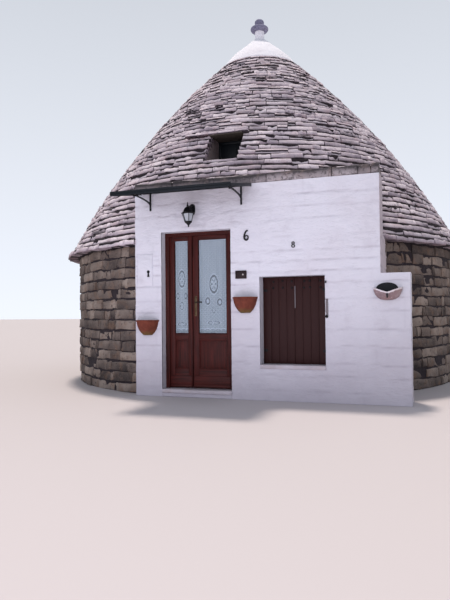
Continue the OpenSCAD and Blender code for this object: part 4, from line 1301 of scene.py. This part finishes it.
def scroll(centre, radius, start, turns, tight=0.75, count=22):
    # a spiral in the plane across the wall
    points = []
    for index in range(count + 1):
        share = index / count
        a = start + turns * 2 * math.pi * share
        reach = radius * (1 - tight * share)
        points.append(centre + Vector((0, math.cos(a) * reach, math.sin(a) * reach)))
    return points


def makeBrackets():
    look = bracketLook
    thick, curl, reach = look["thick"], look["scroll"], look["strutReach"]
    low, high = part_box("canopy_brackets")
    fall, under = canopyFall(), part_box("canopy_sheet")[1].z - 0.012
    bm = bmesh.new()
    for x in (low.x + 0.008, high.x - 0.008):
        wall = faceY - thick / 2 - 0.001
        upright = [Vector((x, wall, z)) for z in (low.z, (low.z + under) / 2, under - 0.002)]
        sweep(bm, upright, thick, thick, (1, 0, 0))
        addBlock(bm, (x - 0.012, faceY - 0.006, low.z - 0.004), (x + 0.012, faceY, low.z + 0.026), 0.002)
        for level in (low.z + 0.045, under - 0.05):
            addDome(bm, (x, faceY - thick - 0.001, level), 0.007)
        start = Vector((x, faceY, under - thick / 2))
        end = start - Vector((0, 1, fall)) * look["reach"]
        spiral = scroll(end - Vector((0, 0, curl)), curl, math.pi / 2, 1.35)
        sweep(bm, [start, (start + end) / 2] + spiral, thick * 0.8, thick, (1, 0, 0))
        foot = low.z + look["strutUp"] + thick / 2
        rise = under - thick * 1.4 - fall * reach - foot
        turns = [math.pi / 2 * step / 14 for step in range(15)]
        arc = [Vector((x, faceY - thick - (reach - thick) * (1 - math.cos(a)), foot + rise * math.sin(a)))
            for a in turns]
        sweep(bm, arc, thick * 0.8, thick, (1, 0, 0))
    finishPiece("canopyBracketsForged", bm, "blackIronPaint", replaced=["canopy_brackets"])


makeCanopy()
makeBrackets()
print("canopy made")

# Lantern

lanternLook = {
    "tilt": 2.5, "bar": 0.007, "topR": 0.082, "footR": 0.050, "body": 0.111,
    # (how far out, how far down) of the curl under the arm, and (radius, height) of the turned parts
    "curl": [(0.012, 0.062), (0.040, 0.052), (0.070, 0.022), (0.105, 0.008), (0.125, 0.020), (0.112, 0.032),
        (0.100, 0.024)],
    "finial": [(0.0, -0.014), (0.010, -0.012), (0.013, -0.004), (0.013, 0.005), (0.008, 0.014),
        (0.006, 0.024), (0.009, 0.032), (0.006, 0.038), (0.004, 0.046), (0.0, 0.051)],
    "hood": [(0.086, 0.0), (0.088, 0.005), (0.077, 0.010), (0.067, 0.015), (0.060, 0.020), (0.057, 0.033),
        (0.053, 0.049), (0.043, 0.064), (0.026, 0.077), (0.014, 0.082), (0.010, 0.087)],
    "base": [(0.046, 0.0), (0.047, -0.006), (0.044, -0.012)],
    "drop": [(0.0, -0.010), (0.034, -0.012), (0.028, -0.026), (0.012, -0.040), (0.009, -0.048),
        (0.012, -0.055), (0.009, -0.062), (0.003, -0.068)],
    "bulb": [(0.0, 0.0), (0.011, 0.002), (0.020, 0.014), (0.024, 0.030), (0.020, 0.048), (0.013, 0.062),
        (0.012, 0.075)],
}


def ovalOutline(x, y, z, halfWide, halfTall, count=28):
    # an upright oval with straight sides, in the plane of the wall
    outline = []
    for index in range(count):
        a = 2 * math.pi * index / count
        up = math.copysign(halfTall - halfWide, math.sin(a))
        outline.append((x + halfWide * math.cos(a), y, z + halfWide * math.sin(a) + up))
    return outline


def makeLantern():
    look = lanternLook
    roofLow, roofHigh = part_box("lantern_roof")
    x, y = (roofLow.x + roofHigh.x) / 2, (roofLow.y + roofHigh.y) / 2
    brim, foot, arm = roofLow.z, roofLow.z - look["body"], roofHigh.z + 0.012
    swing = Matrix.Translation((x, y, arm)) @ Matrix.Rotation(math.radians(-look["tilt"]), 4, "Y") \
        @ Matrix.Translation((-x, -y, -arm))
    turns = [math.pi / 3 * index for index in range(6)]
    bm = bmesh.new()
    plate = arm - 0.023
    addPlate(bm, ovalOutline(x, faceY, plate, 0.042, 0.074), (0, -0.006, 0))
    addPlate(bm, ovalOutline(x, faceY - 0.006, plate, 0.033, 0.064), (0, -0.005, 0))
    for level in (plate - 0.052, plate + 0.052):
        addDome(bm, (x, faceY - 0.011, level), 0.006)
    addRod(bm, (x, faceY - 0.008, arm), (x, faceY - 0.030, arm), 0.016, 16, 0.009)
    addRod(bm, (x, faceY - 0.01, arm), (x, y, arm), 0.007)
    curl = smoothPath([(x, faceY - out, arm - down) for out, down in look["curl"]], 5)
    sweep(bm, curl, 0.007, 0.009, (1, 0, 0))
    turned(bm, look["finial"], (x, y, arm), 20)
    finishPiece("lanternArm", bm, "blackIronPaint", replaced=["lantern_bracket"])

    def spot(turn, reach, level):
        return Vector((x + math.cos(turn) * reach, y + math.sin(turn) * reach, level))

    bm = bmesh.new()
    hood = smoothLine(look["hood"], 3)
    turned(bm, [(0.0, 0.002)] + hood, (x, y, brim), 36)
    for a in turns:                                 # ribs over the hood and small crests on its brim
        path = [spot(a, r + 0.001, brim + z + 0.001) for r, z in hood[3:-3]]
        sweep(bm, path, 0.004, 0.004, (-math.sin(a), math.cos(a), 0))
        addDome(bm, spot(a, 0.082, brim + 0.008), 0.006, (0, 0, 1), 1.4)
    bm.transform(swing)
    finishPiece("lanternHood", bm, "blackIronPaint", replaced=["lantern_roof"])
    bm = bmesh.new()
    topR, footR = look["topR"], look["footR"]
    for a in turns:
        low, high = spot(a, footR - 0.004, foot), spot(a, topR - 0.004, brim)
        sweep(bm, [low, (low + high) / 2, high], look["bar"], look["bar"], (-math.sin(a), math.cos(a), 0))
        for r, level in ((topR - 0.005, brim - 0.004), (footR - 0.003, foot + 0.004)):
            addRod(bm, spot(a, r, level), spot(a + math.pi / 3, r, level), 0.0042, 8)
    turned(bm, look["base"], (x, y, foot), 24)
    turned(bm, look["drop"], (x, y, foot), 20)
    bm.transform(swing)
    finishPiece("lanternCage", bm, "blackIronPaint", replaced=["lantern_cage"])
    bm = bmesh.new()
    for a in turns:                                 # a pane between each two bars
        left, right, middle = a + 0.06, a + math.pi / 3 - 0.06, a + math.pi / 6
        low, high = (footR - 0.007, foot + 0.003), (topR - 0.009, brim - 0.003)
        outline = [spot(left, *low), spot(right, *low), spot(right, *high), spot(left, *high)]
        addPlate(bm, outline, (-math.cos(middle) * 0.003, -math.sin(middle) * 0.003, 0))
    bm.transform(swing)
    finishPiece("lanternPanes", bm, "frostedGlass", replaced=["lantern_glass"], smooth=None)
    bm = bmesh.new()
    turned(bm, look["bulb"], (x, y, foot + 0.030), 20)
    bm.transform(swing)
    finishPiece("lanternBulb", bm, "opalBulb", smooth=60)


makeLantern()
print("lantern made")

# Small fittings

numberLook = {
    "thick": 0.018, "deep": 0.009, "off": 0.012,
    "six": [(0.728, 2.150), (0.722, 2.160), (0.704, 2.148), (0.688, 2.116), (0.682, 2.078), (0.690, 2.049),
        (0.710, 2.040), (0.729, 2.053), (0.733, 2.078), (0.718, 2.095), (0.698, 2.090), (0.690, 2.078)],
    "rings": ((1.3175, 1.9715, 0.0135, 0.0165), (1.3175, 1.9355, 0.0165, 0.0195)),     # middle, half sizes
    "pins": ((0.688, 2.116), (0.720, 2.046), (1.3040, 1.9715), (1.3340, 1.9355)),
}

meterLock = {"x": -0.686, "z": 1.676, "radius": 0.021}

bellLook = {"slots": 5, "slotFoot": 0.030, "pitch": 0.010, "button": (0.030, 0.011)}

potLook = {
    "line": [(0.064, 0.0), (0.102, 0.038), (0.131, 0.085), (0.149, 0.135), (0.156, 0.172), (0.158, 0.179),
        (0.165, 0.183), (0.166, 0.200), (0.162, 0.204)],
    "wall": 0.012, "floor": 0.012,
}

bowlLook = {
    "line": [(0.050, 0.0), (0.092, 0.012), (0.134, 0.048), (0.158, 0.097), (0.168, 0.136), (0.170, 0.150)],
    "wall": 0.026, "floor": 0.036, "dip": 0.060, "rim": 0.018,
    "niche": (0.125, 0.068, 0.105),                 # half width, rise and depth of the painted shade of the hollow: a dark plate on the wall
    "slot": (1.268, 1.320), "slotWide": 0.011,
}


def makeNumbers():
    look = numberLook
    thick, deep, y = look["thick"], look["deep"], faceY - look["off"]
    bm = bmesh.new()
    six = smoothPath([(x, y, z) for x, z in look["six"]], 5)
    sizes = [0.75 + 0.5 * math.sin(math.pi * min(1.0, index / len(six) * 1.2)) for index in range(len(six))]
    sweep(bm, six, thick, deep, (0, 1, 0), sizes=sizes)
    turns = [2 * math.pi * index / 24 for index in range(25)]
    sizes = [0.55 + 0.65 * abs(math.sin(a)) for a in turns]
    for x, z, wide, tall in look["rings"]:          # the two rings of the eight
        ring = [Vector((x + wide * math.sin(a), y, z + tall * math.cos(a))) for a in turns]
        sweep(bm, ring, thick * 0.62, deep, (0, 1, 0), sizes=sizes)
    for x, z in look["pins"]:
        addRod(bm, (x, faceY, z), (x, y, z), 0.003, 8)
    finishPiece("houseNumbers", bm, "blackIronPaint")


def makeMeterDoor():
    low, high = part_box("meter_door")
    bm = bmesh.new()
    addPanel(bm, low, high, 0.0, low.y + 0.002, high.y, 0.0015)
    addPanel(bm, low, high, 0.010, low.y - 0.001, low.y + 0.004, 0.002)
    x, y = low.x + 0.002, low.y + 0.001
    for level in (low.z + 0.06, high.z - 0.06):
        addRod(bm, (x, y, level - 0.022), (x, y, level + 0.022), 0.004, 10)
    finishPiece("meterDoorPlate", bm, "chalkLimewash", replaced=["meter_door"])
    bm = bmesh.new()
    x, y, z = meterLock["x"], low.y - 0.001, meterLock["z"]
    addRod(bm, (x, y, z), (x, y - 0.004, z), meterLock["radius"], 20)
    outline = [(x + wide, y, z - down) for wide, down in (
        (-0.008, 0.006), (0.008, 0.006), (0.017, 0.070), (-0.017, 0.070))]
    addPlate(bm, outline, (0, -0.004, 0))
    finishPiece("meterDoorLock", bm, "blackIronPaint")


def makeBellBox():
    look = bellLook
    low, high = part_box("bell_box")
    bm = bmesh.new()
    addPanel(bm, low, high, 0.0, low.y + 0.004, high.y, 0.004)
    addPanel(bm, low, high, 0.008, low.y, low.y + 0.010, 0.003)
    for index in range(look["slots"]):              # slots of the speaker
        z = low.z + look["slotFoot"] + look["pitch"] * index
        addBlock(bm, (low.x + 0.020, low.y - 0.0015, z), (low.x + 0.062, low.y + 0.002, z + 0.004), 0.0008)
    finishPiece("bellBoxCase", bm, "maroonEnamel", replaced=["bell_box"])
    bm = bmesh.new()
    aside, radius = look["button"]
    x, z = (low.x + high.x) / 2 + aside, (low.z + high.z) / 2
    addRod(bm, (x, low.y, z), (x, low.y - 0.004, z), radius, 20, 0.009)
    addDome(bm, (x, low.y - 0.004, z), 0.007, flat=0.4)
    finishPiece("bellButton", bm, "paleButton")


def halfVessel(bm, look, centre):
    # the half of a turned vessel that stands before the wall's face; gives its smooth outer line
    outer = smoothLine(look["line"], 3)
    inner = [(max(0.0, r - look["wall"]), max(look["floor"], z)) for r, z in reversed(outer)]
    turned(bm, outer + inner, centre, 56)
    bmesh.ops.bisect_plane(bm, geom=[*bm.verts, *bm.edges, *bm.faces], dist=0.00005, plane_co=(0, faceY, 0),
        plane_no=(0, 1, 0), clear_outer=True)
    bmesh.ops.holes_fill(bm, edges=[edge for edge in bm.edges if edge.is_boundary], sides=0)
    return outer


def shakeFront(bm, amount, pitch, seed):
    shake([vert for vert in bm.verts if vert.co.y < faceY - 0.001], amount, pitch, seed)


def makePots():
    for side in ("left", "right"):
        low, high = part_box(f"{side}_pot")
        x = (low.x + high.x) / 2
        bm = bmesh.new()
        outer = halfVessel(bm, potLook, (x, faceY, low.z))
        right = [(x + r - 0.001, faceY, low.z + z) for r, z in outer if z > 0]
        left = [(2 * x - px, py, pz) for px, py, pz in reversed(right)]
        addPlate(bm, right + left, (0, -potLook["wall"], 0))       # the back plate against the wall
        shakeFront(bm, 0.0014, 16.0, 4)
        finishPiece(f"{side}PotClay", bm, f"{side}Terracotta", replaced=[f"{side}_pot"],
            smooth=50)


def makeBowl():
    look = bowlLook
    low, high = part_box("stone_bowl")
    x, half = (low.x + high.x) / 2, (high.x - low.x) / 2
    bm, layer = newStones()
    halfVessel(bm, look, (x, faceY, low.z))

    def dip(place):
        # the rim dips to a blunt point at the front
        ahead = max(0.0, (faceY - place.y) / half)
        return look["dip"] * max(0.0, 1 - abs(place.x - x) / half * 1.02) * min(1.0, ahead * 3)

    for vert in bm.verts:
        vert.co.z -= dip(vert.co) * ((vert.co.z - low.z) / (high.z - low.z)) ** 1.5
    shakeFront(bm, 0.003, 14.0, 9)
    for vert in bm.verts:
        vert[layer] = 0.95 if vert.co.z > high.z - dip(vert.co) - look["rim"] else 0.42
    bm.normal_update()
    for face in bm.faces:                           # painted shade: the inside faces of the hollow that don't look up are painted near black
        middle = face.calc_center_median()
        away = Vector((middle.x - x, middle.y - faceY, 0))
        inside = face.normal.dot(away) < 0 and middle.y < faceY - 0.002
        face.material_index = int(inside and face.normal.z < 0.75)
    finishPiece("stoneBowlCarved", bm, ["carvedLimestone", "dampStone"],
        replaced=["stone_bowl"], smooth=50)
    # painted shade: a near-black plate on the wall behind the bowl, and a slot under its front, for the shade
    # in the hollow
    bm = bmesh.new()
    wide, up, down = look["niche"]
    turns = [2 * math.pi * step / 32 for step in range(32)]
    addPlate(bm, [(x - 0.008 + wide * math.cos(a), faceY + 0.001,
        high.z - 0.010 + (up if math.sin(a) > 0 else down) * math.sin(a)) for a in turns], (0, -0.013, 0))
    (foot, head), wide, front = look["slot"], look["slotWide"], faceY - half * 0.93
    addPlate(bm, [(x + wide * share, front + back, z) for share, back, z in (
        (-0.6, 0.010, foot), (0.6, 0.010, foot), (1.0, -0.020, head), (-1.0, -0.020, head))], (0, 0.03, 0))
    finishPiece("bowlHollow", bm, "dampStone", smooth=50)


makeNumbers()
makeMeterDoor()
makeBellBox()
makePots()
makeBowl()
print("small fittings made")

# CAD nodes that keep their shape take their finishes here
nodeFinishes = {
    "wornLimestone": ["floor_slab", "door_threshold", "window_sill"],
    "chalkLimewash": ["front_wall_left", "front_wall_middle", "front_wall_right", "front_wall_over_door",
        "front_wall_over_window", "front_wall_under_window", "low_wall", "meter_door"],
    "bleachedLimewash": ["white_cap"],
    "weatheredLimewash": ["corner_masonry"],
    "lichenedLimestone": ["cap_stones"],
    "limewashedRoomStone": ["round_wall_front_left", "round_wall_front_right", "round_wall_right",
        "round_wall_back_right", "round_wall_back_left", "round_wall_left"],
    "limewashedRoofStone": ["roof_front", "roof_right", "roof_back", "roof_left", "roof_top"],
    "splitLimestone": ["dormer_sill", "dormer_lintel"],
    "greyLimestone": ["pinnacle_disc", "pinnacle_ball"],
    "slateBluePaint": ["dormer_frame", "dormer_panel"],
    "mahoganyUpright": ["door_frame", "door_left_leaf", "door_right_leaf"],
    "floatGlass": ["left_glass", "right_glass"],
    "frostedGlass": ["lantern_glass"],
    "cottonNet": ["left_curtain", "right_curtain"],
    "agedBrass": ["door_handle", "hinge_frame_halves", "left_hinge_halves", "right_hinge_halves"],
    "maroonBoardPaint": ["window_frame", "left_shutter", "right_shutter"],
    "greenBlackSteelPaint": ["canopy_sheet", "canopy_rails"],
    "blackIronPaint": ["canopy_brackets", "lantern_bracket", "lantern_roof", "lantern_cage"],
    "maroonEnamel": ["bell_box"],
    "leftTerracotta": ["left_pot"],
    "rightTerracotta": ["right_pot"],
    "carvedLimestone": ["stone_bowl"],
}

for finish, names in nodeFinishes.items():
    for name in names:
        mesh = cadNodes[name].data
        mesh.materials.clear()
        mesh.materials.append(finishes[finish])
print("model dressed")
